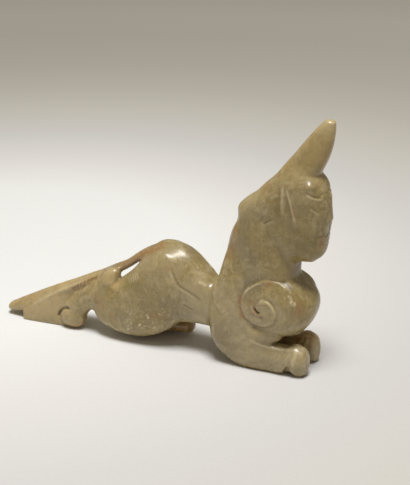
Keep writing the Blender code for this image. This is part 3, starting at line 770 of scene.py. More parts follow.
@dataclass(frozen=True)
class Staining:
    """All stains of the stone, by place; the deep tint's stains also paint shade."""

    crest: tuple[Stain, ...] = (
        Stain(Tint.TAN, ((48, 0, 70), (54, 0, 74)), 7.0, 0.6),
        Stain(Tint.TAN, ((30, 0, 50), (40, 0, 62), (50, 0, 75)), 3.5, 0.6),
        # Deeper olive at the crest's foot, partly painted shade in the valley below the crest.
        Stain(Tint.DEEP, ((47, -5, 67), (56, -3, 66)), 5.0, 0.7),
        Stain(Tint.RUST, ((40.1, -5.2, 60.7),), 1.6, 0.75),
        Stain(Tint.RUST, ((59, -1.5, 74), (57.5, -2, 70)), 2.2, 0.4),
        Stain(Tint.LIGHT, ((58, -1, 80.5),), 3.5, 0.9),
        Stain(Tint.LIGHT, ((33, -7, 54), (36, -7, 60)), 4.5, 0.6),
        # Deeper olive low on the crest, partly painted shade.
        Stain(Tint.DEEP, ((46, -5, 62), (55, -5, 74)), 6.0, 0.55),
    )
    neck: tuple[Stain, ...] = (
        Stain(Tint.RUST, ((30.6, -4.6, 46.8), (30.2, -5.8, 43.9), (28.7, -6.6, 37.6)), 1.8, 0.7),
        Stain(Tint.MOSS, ((51.0, -8.1, 57.8),), 1.4, 0.8),
        Stain(Tint.MOSS, ((45.0, -8.3, 55.4), (46.5, -8.3, 51)), 1.5, 0.7),
        Stain(Tint.MOSS, ((42.1, -8.0, 47.0),), 1.3, 0.8),
        Stain(Tint.MOSS, ((51.4, -8.2, 48.6), (48.5, -8.2, 50.0)), 1.1, 0.6),
        Stain(Tint.MOSS, ((55.0, -7.0, 44.7), (52.0, -8.0, 44.5)), 2.8, 0.8),
        Stain(Tint.MOSS, ((50.8, -6.9, 40.4),), 1.6, 0.9),
        Stain(Tint.RUST, ((50.2, -8.1, 55.4), (51.2, -8.1, 52.2)), 0.8, 0.45),
        # Painted shade over the neck and head, and painted shadow on the throat under the chin.
        Stain(Tint.DEEP, ((50, 0, 60), (50, 0, 46), (40, 0, 42), (46, 0, 38)), 12.0, 0.75),
        Stain(Tint.DEEP, ((50, 0, 38), (57, 0, 28)), 9.0, 0.8),
        Stain(Tint.RUST, ((58.0, -3.5, 47.0), (58.2, -3.5, 44.5)), 1.0, 0.7),
        Stain(Tint.MOSS, ((55, -4, 36), (57, -3, 29)), 2.6, 0.6),
    )
    shoulder: tuple[Stain, ...] = (
        Stain(Tint.LIGHT, ((30, -9.8, 24), (35, -10, 14), (44, -10, 19)), 6.0, 0.55),
        Stain(Tint.LIGHT, ((34, -10, 5), (52, -9.5, 6)), 4.0, 0.5),
        # Painted shade on the chest front.
        Stain(Tint.DEEP, ((51, -9, 31), (54, -8, 24)), 4.0, 0.7),
        Stain(Tint.RUST, ((34.2, -9.2, 25.2), (34.1, -9.4, 21.9), (34.6, -9.7, 18.4)), 0.8, 0.8),
        Stain(Tint.RUST, ((42.9, -8.9, 30.8),), 1.2, 0.9),
        Stain(Tint.RUST, ((53.0, -8.6, 25.1), (53.4, -8.4, 22.5)), 1.5, 0.7),
        Stain(Tint.RUST, ((37.6, -9.5, 23.4), (38.6, -9.6, 20.8), (41.0, -9.6, 19.8)), 0.9, 0.8),
        Stain(Tint.CHALK, ((49.6, -9.4, 28.0), (51.4, -9.3, 25.4)), 1.4, 0.8),
        Stain(Tint.RUST, ((40.2, -5.5, 10.3), (42.0, -4.5, 10.0)), 1.6, 1.0),
        Stain(Tint.RUST, ((46.5, 1.5, 8.5), (52, 3.0, 9.0)), 3.0, 1.0),
    )
    rump: tuple[Stain, ...] = (
        Stain(Tint.RUST, ((2.6, -3.0, 34.6), (-5.2, -2.0, 29.5), (-11.2, -2.0, 25.6)), 2.4, 0.9),
        Stain(Tint.RUST, ((-12.2, -4.2, 24.0),), 1.3, 0.5),
        Stain(Tint.TAN, ((-15.5, -6, 22.5), (-12.5, -7, 20.0)), 2.8, 1.0),
        Stain(Tint.LIGHT, ((-15.0, -6, 22.8),), 2.4, 0.8),
        Stain(Tint.LIGHT, ((17, -6.5, 23), (20, -7, 15)), 5.5, 1.0),
        Stain(Tint.LIGHT, ((-4, -7.5, 27), (4, -8, 31), (10, -7, 28)), 5.0, 0.5),
        # Painted shade on the lower thigh.
        Stain(Tint.DEEP, ((-2, -9, 20), (3, -9, 15)), 8.0, 0.5),
        Stain(Tint.RUST, ((9.2, -7.6, 29.6),), 1.3, 0.5),
        Stain(Tint.MOSS, ((-5.5, -7.8, 23.4), (-2.0, -8.2, 21.6)), 2.4, 0.6),
        Stain(Tint.MOSS, ((-14.6, -7.3, 18.2), (-11.0, -8.1, 17.4)), 1.2, 0.8),
        Stain(Tint.RUST, ((-19.3, -7.2, 14.2), (-16.6, -8.0, 11.6)), 1.8, 0.5),
        Stain(Tint.CHALK, ((-5.0, -9.1, 8.0), (2.5, -9.2, 10.0), (5.5, -8.6, 11.5)), 4.0, 0.8),
        Stain(Tint.RUST, ((5.9, -8.8, 12.7), (2.4, -9.4, 12.6)), 1.6, 0.55),
        Stain(Tint.RUST, ((-12, -8.6, 9.5),), 1.8, 0.4),
        Stain(Tint.MOSS, ((18, -7, 22), (20, -6, 16)), 3.0, 0.4),
    )
    feet: tuple[Stain, ...] = (
        Stain(Tint.RUST, ((-8, 6, 1), (9, 7, 3)), 6.0, 1.0),
        # Painted shade on the folded far foot.
        Stain(Tint.DEEP, ((-8, 6, 1), (10, 7, 3)), 6.0, 1.0),
        Stain(Tint.RUST, ((-30, -5.5, 0.8), (-26.5, -5.5, 2.0)), 2.0, 0.8),
        Stain(Tint.RUST, ((56, 6, 1.5),), 2.5, 0.5),
    )
    tail: tuple[Stain, ...] = (
        Stain(Tint.TAN, ((-58, 0, 2.5), (-40, 0, 12), (-22, 0, 20)), 5.5, 0.9),
        Stain(Tint.TAN, ((-48, -4, 4), (-34, -4, 9)), 6.0, 0.75),
        Stain(Tint.RUST, ((-52, -2, 4.5), (-46, -2, 8.5)), 2.2, 0.35),
        Stain(Tint.RUST, ((-30.2, -4.2, 15.0), (-21.3, -4.0, 20.1)), 0.9, 0.65),
        Stain(Tint.LIGHT, ((-44, -5, 7), (-33, -5, 9)), 5.0, 0.5),
    )

    def amounts(self, points: Array) -> dict[Tint, Array]:
        """Add up the stains of each tint.

        Args:
            points: Points of the stone.

        Returns:
            The share of each tint at each point, from 0 to 1.
        """
        total = {tint: np.zeros(len(points)) for tint in Tint}
        for item in fields(self):
            for stain in getattr(self, item.name):
                total[stain.tint] = np.maximum(total[stain.tint], stain.share(points))
        return {tint: np.clip(share, 0, 1) for tint, share in total.items()}


@dataclass(frozen=True)
class Ripple:
    """Unevenness of a hand-ground skin: a sum of plane waves of seeded directions."""

    length: float
    height: float
    waves: int = 28
    seed: int = 7
    spread: Span = (0.67, 1.5)

    def lift(self, points: Array) -> Array:
        """Work out the height at each point.

        Each wave is the sine of the point's place along a random direction. Its length is the
        given one times a number drawn from the spread. Their sum is scaled to the given height.

        Args:
            points: Points of the stone.

        Returns:
            The height at each point.
        """
        draw = np.random.default_rng(self.seed)
        ways = draw.normal(size=(self.waves, 3))
        ways /= np.linalg.norm(ways, axis=1)[:, None]
        lengths = self.length * draw.uniform(*self.spread, self.waves)
        shifts = draw.uniform(0, 2 * np.pi, self.waves)
        total = np.zeros(len(points))
        for way, length, shift in zip(ways, lengths, shifts):
            total += np.sin(points @ way * (2 * np.pi / length) + shift)
        return total * self.height / np.sqrt(self.waves / 2)


def read(collection: bpy.types.bpy_prop_collection, name: str, width: int,
         kind: type = np.float32) -> Array:
    """Read a value of every item of a mesh collection.

    Args:
        collection: Items of a mesh, such as its vertices.
        name: Name of the value.
        width: Number of values in each item.
        kind: Number type that the mesh holds.

    Returns:
        The values, one item in a row.
    """
    values = np.empty(len(collection) * width, kind)
    collection.foreach_get(name, values)
    return values.reshape(-1, width)


def write_points(mesh: bpy.types.Mesh, points: Array) -> None:
    """Put the points into the mesh and refresh its normals."""
    mesh.vertices.foreach_set("co", points.astype(np.float32).ravel())
    mesh.update()


def neighbour_mean(values: Array, edges: Array, links: Array) -> Array:
    """Average over the neighbours of every point.

    Args:
        values: Rows of values, one row for each point.
        edges: Pairs of joined points.
        links: Number of neighbours of each point, as a column.

    Returns:
        The mean of the neighbours' rows, for each point.
    """
    count = len(values)
    total = np.empty_like(values)
    for axis in range(values.shape[1]):
        total[:, axis] = (
            np.bincount(edges[:, 0], values[edges[:, 1], axis], minlength=count)
            + np.bincount(edges[:, 1], values[edges[:, 0], axis], minlength=count))
    return total / links


@dataclass
class Stone:
    """The whole beast as one carved stone.

    The grain is the cell of the union. Polish and blend count rounds of smoothing, over the
    whole skin and where masses flow into each other. A row of the blends holds x, y on both
    sides, z and the reach of such a place.
    """

    parts: tuple[Part, ...] = (HeadAndNeck(), Trunk(), HindLegs(), Tail())
    pairs: tuple[Part, ...] = (FaceHalf(), Foreleg())
    carving: Carving = Carving()
    staining: Staining = Staining()
    grain: float = 0.28
    triangles: int = 194000
    carved_limit: float = 0.05
    polish: int = 18
    blend: int = 215
    step: float = 0.5
    blend_core: float = 1.5
    blends: Rows = (
        (36, 7, 36, 10), (28, 8, 30, 8), (40, 8, 34, 9), (38, 7.5, 50, 10), (40, 5, 62, 8),
        (48, 4, 66, 5), (36, 9, 22, 9), (10, 6, 30, 10), (18, 7, 18, 8), (8, 7, 14, 8),
        (2, 6, 30, 9), (-18, 6, 14, 8), (-24, 5, 10, 6), (30, 9, 10, 6), (-14, 6, 16, 5),
        (23.5, 8, 23, 7), (23, 8, 15, 6), (50.5, 5, 38.5, 5), (37, 9.5, 12, 6),
        (42.5, 9.5, 12.5, 5))
    ripples: tuple[Ripple, ...] = (Ripple(9.0, 0.04), Ripple(3.4, 0.01, seed=11))
    curve_rounds: int = 5
    curve_gain: float = 1.6

    def union(self) -> bpy.types.Mesh:
        """Join all forms into one closed skin of even grain.

        Returns:
            The skin's mesh, in drawing units.
        """
        forms = [form for part in self.parts for form in part.forms()]
        forms += [form for part in self.pairs for side in (-1, 1) for form in part.forms(side)]
        points, faces, count = [], [], 0
        for form_points, form_faces in forms:
            points.append(form_points)
            faces += [[corner + count for corner in face] for face in form_faces]
            count += len(form_points)
        mesh = bpy.data.meshes.new("forms")
        mesh.from_pydata(np.vstack(points).tolist(), [], faces)
        shell = bmesh.new()
        shell.from_mesh(mesh)
        bmesh.ops.recalc_face_normals(shell, faces=shell.faces)
        shell.to_mesh(mesh)
        shell.free()
        log.info("%d forms, %d points", len(forms), count)
        return self.modified(mesh, "REMESH", mode="VOXEL", voxel_size=self.grain)

    @staticmethod
    def modified(mesh: bpy.types.Mesh, kind: str, spared: Array | None = None,
                 **settings: object) -> bpy.types.Mesh:
        """Run one modifier over a mesh.

        Args:
            mesh: The mesh, which is removed.
            kind: Blender's name of the modifier's type.
            spared: Numbers of the points that the modifier leaves alone, if any.
            settings: Its properties.

        Returns:
            The new mesh.
        """
        holder = bpy.data.objects.new("holder", mesh)
        bpy.context.scene.collection.objects.link(holder)
        modifier = holder.modifiers.new(kind.title(), kind)
        if spared is not None:
            group = holder.vertex_groups.new(name="spared")
            group.add(spared.tolist(), 1.0, "REPLACE")
            modifier.vertex_group = group.name
            modifier.invert_vertex_group = True
        for name, value in settings.items():
            setattr(modifier, name, value)
        depsgraph = bpy.context.evaluated_depsgraph_get()
        made = bpy.data.meshes.new_from_object(holder.evaluated_get(depsgraph))
        bpy.data.objects.remove(holder)
        bpy.data.meshes.remove(mesh)
        return made

    def blend_share(self, points: Array) -> Array:
        """Work out how much each point takes part in the blends between masses.

        Args:
            points: Points of the stone.

        Returns:
            The share of each point, from 0 to 1, as a column.
        """
        folded = points * (1, 0, 1) + np.abs(points) * (0, 1, 0)
        share = np.zeros(len(points))
        for x, y, z, reach in self.blends:
            away = np.linalg.norm(folded - (x, y, z), axis=1) / reach
            near = np.clip(self.blend_core - self.blend_core * away, 0, 1)
            share = np.maximum(share, near)
        return share[:, None]

    def smooth(self, points: Array, edges: Array) -> Array:
        """Smooth the skin: a little all over, and much where masses flow into each other.

        Each round moves a point a step of the way to its neighbours' mean, times its share.

        Args:
            points: Points of the skin.
            edges: Pairs of joined points.

        Returns:
            The moved points.
        """
        links = np.bincount(edges.ravel(), minlength=len(points))[:, None]
        for _ in range(self.polish):
            points = points + self.step * (neighbour_mean(points, edges, links) - points)
        share = self.blend_share(points)
        for _ in range(self.blend):
            mean = neighbour_mean(points, edges, links)
            points = points + self.step * share * (mean - points)
        return points

    def curvature(self, points: Array, normals: Array, edges: Array) -> Array:
        """Work out how convex the skin is at each point.

        Along an edge, the curvature is the difference of the normals times the difference of
        the points, over the squared length. A point takes the mean of its edges, and the
        result is averaged with its neighbours a few times.

        Args:
            points: Points of the skin.
            normals: Their normals.
            edges: Pairs of joined points.

        Returns:
            The curvature at each point, positive on edges and negative in hollows.
        """
        first, second = edges.T
        run = points[first] - points[second]
        bend = ((normals[first] - normals[second]) * run).sum(1) / ((run ** 2).sum(1) + TINY)
        count = len(points)
        links = np.bincount(edges.ravel(), minlength=count)[:, None]
        curve = (np.bincount(first, bend, minlength=count)
                 + np.bincount(second, bend, minlength=count))[:, None] / links
        for _ in range(self.curve_rounds):
            curve = (curve + neighbour_mean(curve, edges, links)) / 2
        return curve[:, 0]

    def fitted(self, points: Array) -> Array:
        """Fit the drawn stone to the CAD solid's box, with the ground at Z = 0.

        Args:
            points: Points in drawing units.

        Returns:
            The points in metres.
        """
        low, high = (np.array(corner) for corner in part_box(NODE))
        drawn_low, drawn_high = points.min(axis=0), points.max(axis=0)
        scale = (high - low) / (drawn_high - drawn_low)
        scale[2] = scale[0]
        middle = (drawn_low + drawn_high) / 2
        middle[2] = 0
        place = (low + high) / 2 * (1, 1, 0)
        return (points - middle) * scale + place

    def build(self, finish: bpy.types.Material) -> bpy.types.Object:
        """Build the stone as one finished piece.

        Args:
            finish: Material of the stone.

        Returns:
            The object, in place on the ground.
        """
        mesh = self.union()
        log.info("union: %d faces", len(mesh.polygons))
        edges = read(mesh.edges, "vertices", 2, np.int32)
        points = self.smooth(read(mesh.vertices, "co", 3).astype(float), edges)
        write_points(mesh, points)
        normals = read(mesh.vertex_normals, "vector", 3).astype(float)
        depth, dirt = self.carving.measure(points, normals)
        lift = sum(ripple.lift(points) for ripple in self.ripples)
        write_points(mesh, points + normals * (lift - depth)[:, None])
        carved = np.flatnonzero(np.maximum(np.abs(depth), np.abs(dirt)) > self.carved_limit)
        mesh.calc_loop_triangles()
        log.info("skin: %d triangles, %d carved points", len(mesh.loop_triangles), len(carved))
        ratio = self.triangles / len(mesh.loop_triangles)
        mesh = self.modified(mesh, "DECIMATE", carved, ratio=ratio,
                             use_collapse_triangulate=True)
        mesh.name = PIECE
        self.mark(mesh)
        points = self.fitted(read(mesh.vertices, "co", 3).astype(float))
        points[:, 2] = np.maximum(points[:, 2], 0)
        write_points(mesh, points)
        mesh.shade_smooth()
        mesh.materials.append(finish)
        stone = bpy.data.objects.new(PIECE, mesh)
        bpy.context.scene.collection.objects.link(stone)
        log.info("%s: %d triangles", PIECE, len(mesh.polygons))
        return stone

    def mark(self, mesh: bpy.types.Mesh) -> None:
        """Store on each point what the finish needs: soiling and painted shade, pale wear and
        painted highlights, edges, hollows for painted crease shade, and stains.

        Args:
            mesh: The thinned mesh, in drawing units.
        """
        points = read(mesh.vertices, "co", 3).astype(float)
        normals = read(mesh.vertex_normals, "vector", 3).astype(float)
        edges = read(mesh.edges, "vertices", 2, np.int32)
        dirt = self.carving.measure(points, normals)[1]
        curve = self.curvature(points, normals, edges)
        # The dark part of the carved mark is partly painted shade and the pale part partly
        # painted highlights; hollows feed painted crease shade.
        marks = {"dirt": np.clip(dirt, 0, 1), "rubbed": np.clip(-dirt, 0, 1),
                 "edge": np.clip(curve * self.curve_gain, 0, 1),
                 "hollow": np.clip(-curve * self.curve_gain, 0, 1)}
        marks |= {tint.value: share for tint, share in self.staining.amounts(points).items()}
        for name, values in marks.items():
            attribute = mesh.attributes.new(name, "FLOAT", "POINT")
            attribute.data.foreach_set("value", values.astype(np.float32))
            log.info("attribute %s: mean %.3f", name, values.mean())


class NodeBench:
    """Node tree being built, with short calls for the nodes that are used here."""

    def __init__(self, tree: bpy.types.NodeTree) -> None:
        """Start on a cleared tree."""
        tree.nodes.clear()
        self.tree = tree

    def add(self, kind: str, inputs: dict[str | int, Source] | None = None,
            **settings: object) -> bpy.types.Node:
        """Add a node.

        Args:
            kind: Blender's name of the node's type.
            inputs: A value or an output socket for each input, by name or number.
            settings: Properties of the node.

        Returns:
            The node.
        """
        node = self.tree.nodes.new(kind)
        for name, value in settings.items():
            setattr(node, name, value)
        for name, value in (inputs or {}).items():
            if isinstance(value, Socket):
                self.tree.links.new(value, node.inputs[name])
            else:
                node.inputs[name].default_value = value
        return node

    def math(self, operation: str, first: Source, second: Source = 0.0) -> Socket:
        """Return the result of a Math node on two values."""
        return self.add("ShaderNodeMath", {0: first, 1: second}, operation=operation).outputs[0]

    def window(self, value: Source, low: Source, high: Source, to_low: float = 0.0,
               to_high: float = 1.0, way: str = "SMOOTHSTEP") -> Socket:
        """Turn a value that runs over one span into one that runs over another.

        Args:
            value: The value.
            low: Start of its span.
            high: End of its span.
            to_low: Start of the new span.
            to_high: End of the new span.
            way: Blender's name for how it runs between them, SMOOTHSTEP or LINEAR.

        Returns:
            The new value, which stays within the new span.
        """
        return self.add("ShaderNodeMapRange", {
            "Value": value, "From Min": low, "From Max": high, "To Min": to_low,
            "To Max": to_high}, interpolation_type=way).outputs[0]

    def mix(self, share: Source, under: Source, over: Source, blend: str = "MIX") -> Socket:
        """Return the colour over laid on the colour under by its share."""
        return self.add("ShaderNodeMix", {0: share, 6: under, 7: over}, data_type="RGBA",
                        blend_type=blend).outputs[2]

    def noise(self, place: Source, look: Noise) -> Socket:
        """Return a noise that is fixed to the given place."""
        return self.add("ShaderNodeTexNoise", {
            "Vector": place, "Scale": look.scale, "Detail": look.detail,
            "Roughness": look.rough, "Distortion": look.warp}).outputs[0]


def mottle_group() -> bpy.types.NodeTree:
    """Build the group that makes a cloudy mask, which the stone and the floor both use.

    Returns:
        The group, with the place and the values of a Mottling as its inputs.
    """
    group = bpy.data.node_groups.new("Mottle", "ShaderNodeTree")
    bench = NodeBench(group)
    group.interface.new_socket("Place", in_out="INPUT", socket_type="NodeSocketVector")
    for item in fields(Mottling):
        group.interface.new_socket(item.name.title(), in_out="INPUT",
                                   socket_type="NodeSocketFloat")
    group.interface.new_socket("Mask", in_out="OUTPUT", socket_type="NodeSocketFloat")
    given = bench.add("NodeGroupInput").outputs
    clouds = bench.add("ShaderNodeTexNoise", {
        "Vector": given["Place"], "Scale": given["Scale"], "Detail": MOTTLE_DETAIL,
        "Roughness": given["Rough"], "Distortion": given["Warp"]}).outputs[0]
    bench.add("NodeGroupOutput", {"Mask": bench.window(clouds, given["Low"], given["High"])})
    return group


class FinishBench(NodeBench):
    """Node tree of one material, with the object's coordinates and the mottle group at hand."""

    def __init__(self, name: str, group: bpy.types.NodeTree) -> None:
        """Start a material of the given name."""
        self.material = bpy.data.materials.new(name)
        self.material.use_nodes = True
        super().__init__(self.material.node_tree)
        self.group = group
        self.place = self.add("ShaderNodeTexCoord").outputs["Object"]

    def mark(self, name: str) -> Socket:
        """Return a mark of the mesh's points."""
        return self.add("ShaderNodeAttribute", attribute_name=name).outputs["Fac"]

    def mottle(self, look: Mottling, strength: float = 1.0) -> Socket:
        """Place the mottle group.

        Args:
            look: Values of the mask.
            strength: What the mask is multiplied by.

        Returns:
            The mask.
        """
        values = {item.name.title(): getattr(look, item.name) for item in fields(look)}
        mask = self.add("ShaderNodeGroup", {"Place": self.place} | values,
                        node_tree=self.group).outputs["Mask"]
        return mask if strength == 1.0 else self.math("MULTIPLY", mask, strength)

    def finished(self, inputs: dict[str, Source]) -> bpy.types.Material:
        """Feed the surface with the given inputs and return the material."""
        surface = self.add("ShaderNodeBsdfPrincipled", inputs)
        self.add("ShaderNodeOutputMaterial", {"Surface": surface.outputs[0]})
        return self.material


@dataclass(frozen=True)
class StainLayer:
    """Colour of one tint, the share of it that holds where it is broken, and its strength."""

    tint: Tint
    colour: Colour
    whole: float
    strength: float


@dataclass(frozen=True)
class JadeFinish:
    """Polished, weathered jade: cloudy olive grey with tan, rust and moss-green stains, with
    painted shade and painted highlights laid on as well.

    Scales count features for each metre. A share says how much of a colour is laid on, and
    tones are the least and the most that a colour is multiplied by.
    """

    olive: Colour = paint(157, 139, 89)
    grey: Colour = paint(145, 131, 98)
    pale: Colour = paint(184, 168, 130)
    # Deep olive of veins and flecks, also laid on as painted shade by its stain layer.
    deep: Colour = paint(126, 108, 62)
    chalk: Colour = paint(232, 218, 184)
    # Dark colour of soiled cuts, and of painted shade in creases, on the throat and on the
    # shoulder's top.
    grime_and_shade: Colour = paint(92, 72, 40)
    layers: tuple[StainLayer, ...] = (
        # The second layer lays on deep olive together with painted shade.
        StainLayer(Tint.LIGHT, pale, 0.6, 0.8), StainLayer(Tint.DEEP, deep, 0.6, 0.7),
        StainLayer(Tint.TAN, paint(194, 167, 112), 0.6, 0.8),
        StainLayer(Tint.MOSS, paint(120, 105, 52), 0.2, 0.85),
        StainLayer(Tint.RUST, paint(152, 103, 50), 0.3, 0.8))
    clouds: Mottling = Mottling(55.0, 0.38, 0.62)
    patches: Mottling = Mottling(190.0, 0.47, 0.62, 0.65, 1.2)
    patch_share: float = 0.55
    veins: Noise = Noise(150.0, 5.0, 0.6, 1.6)
    vein_width: float = 0.04
    vein_share: float = 0.6
    flecks: Mottling = Mottling(480.0, 0.56, 0.7, 0.7, 0.3)
    fleck_share: float = 0.6
    scratches: Noise = Noise(1500.0, 2.0)
    scratch_turn: float = 0.7
    scratch_pull: float = 0.1
    scratch_span: Span = (0.3, 0.7)
    scratch_tones: Span = (0.95, 1.05)
    shade: Noise = Noise(800.0, 4.0, 0.7)
    shade_span: Span = (0.32, 0.68)
    shade_tones: Span = (0.87, 1.1)
    breaks: Mottling = Mottling(420.0, 0.3, 0.62, 0.65, 0.8)
    crumbs: Mottling = Mottling(900.0, 0.58, 0.66, 0.4, 0.2)
    crumb_share: float = 0.8
    worn_share: float = 0.35
    rubbed_and_highlight_share: float = 0.45
    crease_shade_share: float = 0.7
    grime_and_shade_span: Span = (0.45, 0.95)
    uneven: Mottling = Mottling(260.0, 0.3, 0.7)
    polish: Span = (0.23, 0.33)
    dulling: float = 0.25
    skin_noise: Noise = Noise(500.0, 4.0, 0.6)
    pits: float = 700.0
    pit_width: float = 0.22
    pit_depth: float = -0.6
    relief: float = 0.16
    relief_height: float = 0.0002
    ior: float = 1.6
    glow: float = 0.35
    glow_depth: float = 0.0022
    glow_colour: Colour = (1.0, 0.85, 0.55)

    def build(self, group: bpy.types.NodeTree) -> bpy.types.Material:
        """Build the material.

        Args:
            group: The mottle group.

        Returns:
            The material.
        """
        bench = FinishBench("weathered_jade", group)
        colour = self.stained(bench, self.body_colour(bench))
        return bench.finished({
            "Base Color": colour, "Roughness": self.roughness(bench), "IOR": self.ior,
            "Subsurface Weight": self.glow, "Subsurface Radius": self.glow_colour,
            "Subsurface Scale": self.glow_depth, "Normal": self.skin(bench)})

    def body_colour(self, bench: FinishBench) -> Socket:
        """Mix the stone's own colour from clouds, patches, veins, flecks and fine scratches.

        A vein runs where a noise passes its middle value, and the scratches are a noise that
        is drawn out along a slanting line.

        Args:
            bench: Node tree to add to.

        Returns:
            The colour.
        """
        colour = bench.mix(bench.mottle(self.clouds), self.olive, self.grey)
        colour = bench.mix(bench.mottle(self.patches, self.patch_share), colour, self.pale)
        middle = bench.math("SUBTRACT", bench.noise(bench.place, self.veins), 0.5)
        veins = bench.window(bench.math("ABSOLUTE", middle), 0.0, self.vein_width,
                             self.vein_share, 0.0)
        colour = bench.mix(veins, colour, self.deep)
        colour = bench.mix(bench.mottle(self.flecks, self.fleck_share), colour, self.deep)
        drawn_out = bench.add("ShaderNodeMapping", {
            "Vector": bench.place, "Rotation": (0.0, self.scratch_turn, 0.0),
            "Scale": (1.0, 1.0, self.scratch_pull)}).outputs[0]
        for place, noise, span, tones in (
                (drawn_out, self.scratches, self.scratch_span, self.scratch_tones),
                (bench.place, self.shade, self.shade_span, self.shade_tones)):
            tone = bench.window(bench.noise(place, noise), *span, *tones)
            colour = bench.mix(1.0, colour, tone, "MULTIPLY")
        return colour

    def stained(self, bench: FinishBench, colour: Socket) -> Socket:
        """Lay the stains, the wear of the edges, the soiling of the cuts and painted shade and
        highlights on the colour.

        Args:
            bench: Node tree to add to.
            colour: Colour so far.

        Returns:
            The colour.
        """
        broken = bench.mottle(self.breaks)
        for layer in self.layers:
            holds = bench.window(broken, 0.0, 1.0, layer.whole, 1.0)
            share = bench.math("MULTIPLY", bench.mark(layer.tint.value), holds)
            share = bench.math("MULTIPLY", share, layer.strength)
            colour = bench.mix(share, colour, layer.colour)
        chalky = bench.math("MULTIPLY", bench.mottle(self.crumbs),
                            bench.mark(Tint.CHALK.value))
        # The pale wear mark of the strokes is also a painted highlight along some ridges.
        for mask, share, over in ((chalky, self.crumb_share, self.chalk),
                                  (bench.mark("edge"), self.worn_share, self.pale),
                                  (bench.mark("rubbed"), self.rubbed_and_highlight_share, self.chalk)):
            colour = bench.mix(bench.math("MULTIPLY", mask, share), colour, over)
        # Painted shade: every concave place is darkened in the same dark colour, together with
        # the strokes' soiling and painted shade.
        crease_shade = bench.math("MULTIPLY", bench.mark("hollow"), self.crease_shade_share)
        grime_and_shade_share = bench.math("MULTIPLY", bench.math("MAXIMUM", bench.mark("dirt"), crease_shade),
                          bench.window(broken, 0.0, 1.0, *self.grime_and_shade_span))
        return bench.mix(grime_and_shade_share, colour, self.grime_and_shade)

    def roughness(self, bench: FinishBench) -> Socket:
        """Make the polish uneven: smooth on the mass, dull in cuts and in chalky spots.

        Args:
            bench: Node tree to add to.

        Returns:
            The roughness.
        """
        rough = bench.window(bench.mottle(self.uneven), 0.0, 1.0, *self.polish)
        dull = bench.math("MAXIMUM", bench.mark("dirt"), bench.mark(Tint.CHALK.value))
        return bench.math("ADD", rough, bench.math("MULTIPLY", dull, self.dulling))

    def skin(self, bench: FinishBench) -> Socket:
        """Give the skin its finest relief: soft unevenness and small pits.

        Args:
            bench: Node tree to add to.

        Returns:
            The normal.
        """
        off_pit = bench.add("ShaderNodeTexVoronoi", {
            "Vector": bench.place, "Scale": self.pits}).outputs[0]
        hole = bench.window(off_pit, 0.0, self.pit_width, self.pit_depth, 0.0)
        height = bench.math("ADD", bench.noise(bench.place, self.skin_noise), hole)
        return bench.add("ShaderNodeBump", {
            "Height": height, "Strength": self.relief,
            "Distance": self.relief_height}).outputs[0]


@dataclass(frozen=True)
class PaperFinish:
    """Matt paper of the floor, with painted light: its tone falls and rises with the distance
    from a centre, standing in for the fall-off of the light.

    Each stop holds a distance in metres and the tone there.
    """

    # Painted light: these tones stand in for the soft light falling off across the floor.
    painted_light_stops: tuple[tuple[float, Colour], ...] = (
        (0.08, paint(223, 224, 223)), (0.13, paint(211, 210, 208)), (0.18, paint(197, 196, 195)),
        (0.24, paint(190, 187, 180)), (0.30, paint(181, 178, 170)), (0.38, paint(176, 172, 165)),
        (0.50, paint(178, 175, 166)), (0.62, paint(187, 184, 176)), (0.76, paint(190, 186, 178)))
    centre: tuple[float, float] = (-0.10, 0.05)
    fibres: Mottling = Mottling(900.0, 0.3, 0.7)
    fibre_tones: Span = (0.99, 1.01)
    rough: float = 0.85
    sheen: float = 0.2

    def build(self, group: bpy.types.NodeTree) -> bpy.types.Material:
        """Build the material.

        Args:
            group: The mottle group.

        Returns:
            The material.
        """
        bench = FinishBench("pale_paper", group)
        centred = bench.add("ShaderNodeVectorMath", {
            0: bench.place, 1: (*self.centre, 0.0)}, operation="SUBTRACT").outputs[0]
        away = bench.add("ShaderNodeVectorMath", {0: centred}, operation="LENGTH").outputs[1]
        colour = self.painted_light_stops[0][1]
        for (start, _), (end, tone) in zip(self.painted_light_stops[:-1], self.painted_light_stops[1:]):
            colour = bench.mix(bench.window(away, start, end, way="LINEAR"), colour, tone)
        shade = bench.window(bench.mottle(self.fibres), 0.0, 1.0, *self.fibre_tones)
        return bench.finished({
            "Base Color": bench.mix(1.0, colour, shade, "MULTIPLY"), "Roughness": self.rough,
            "Specular IOR Level": self.sheen})


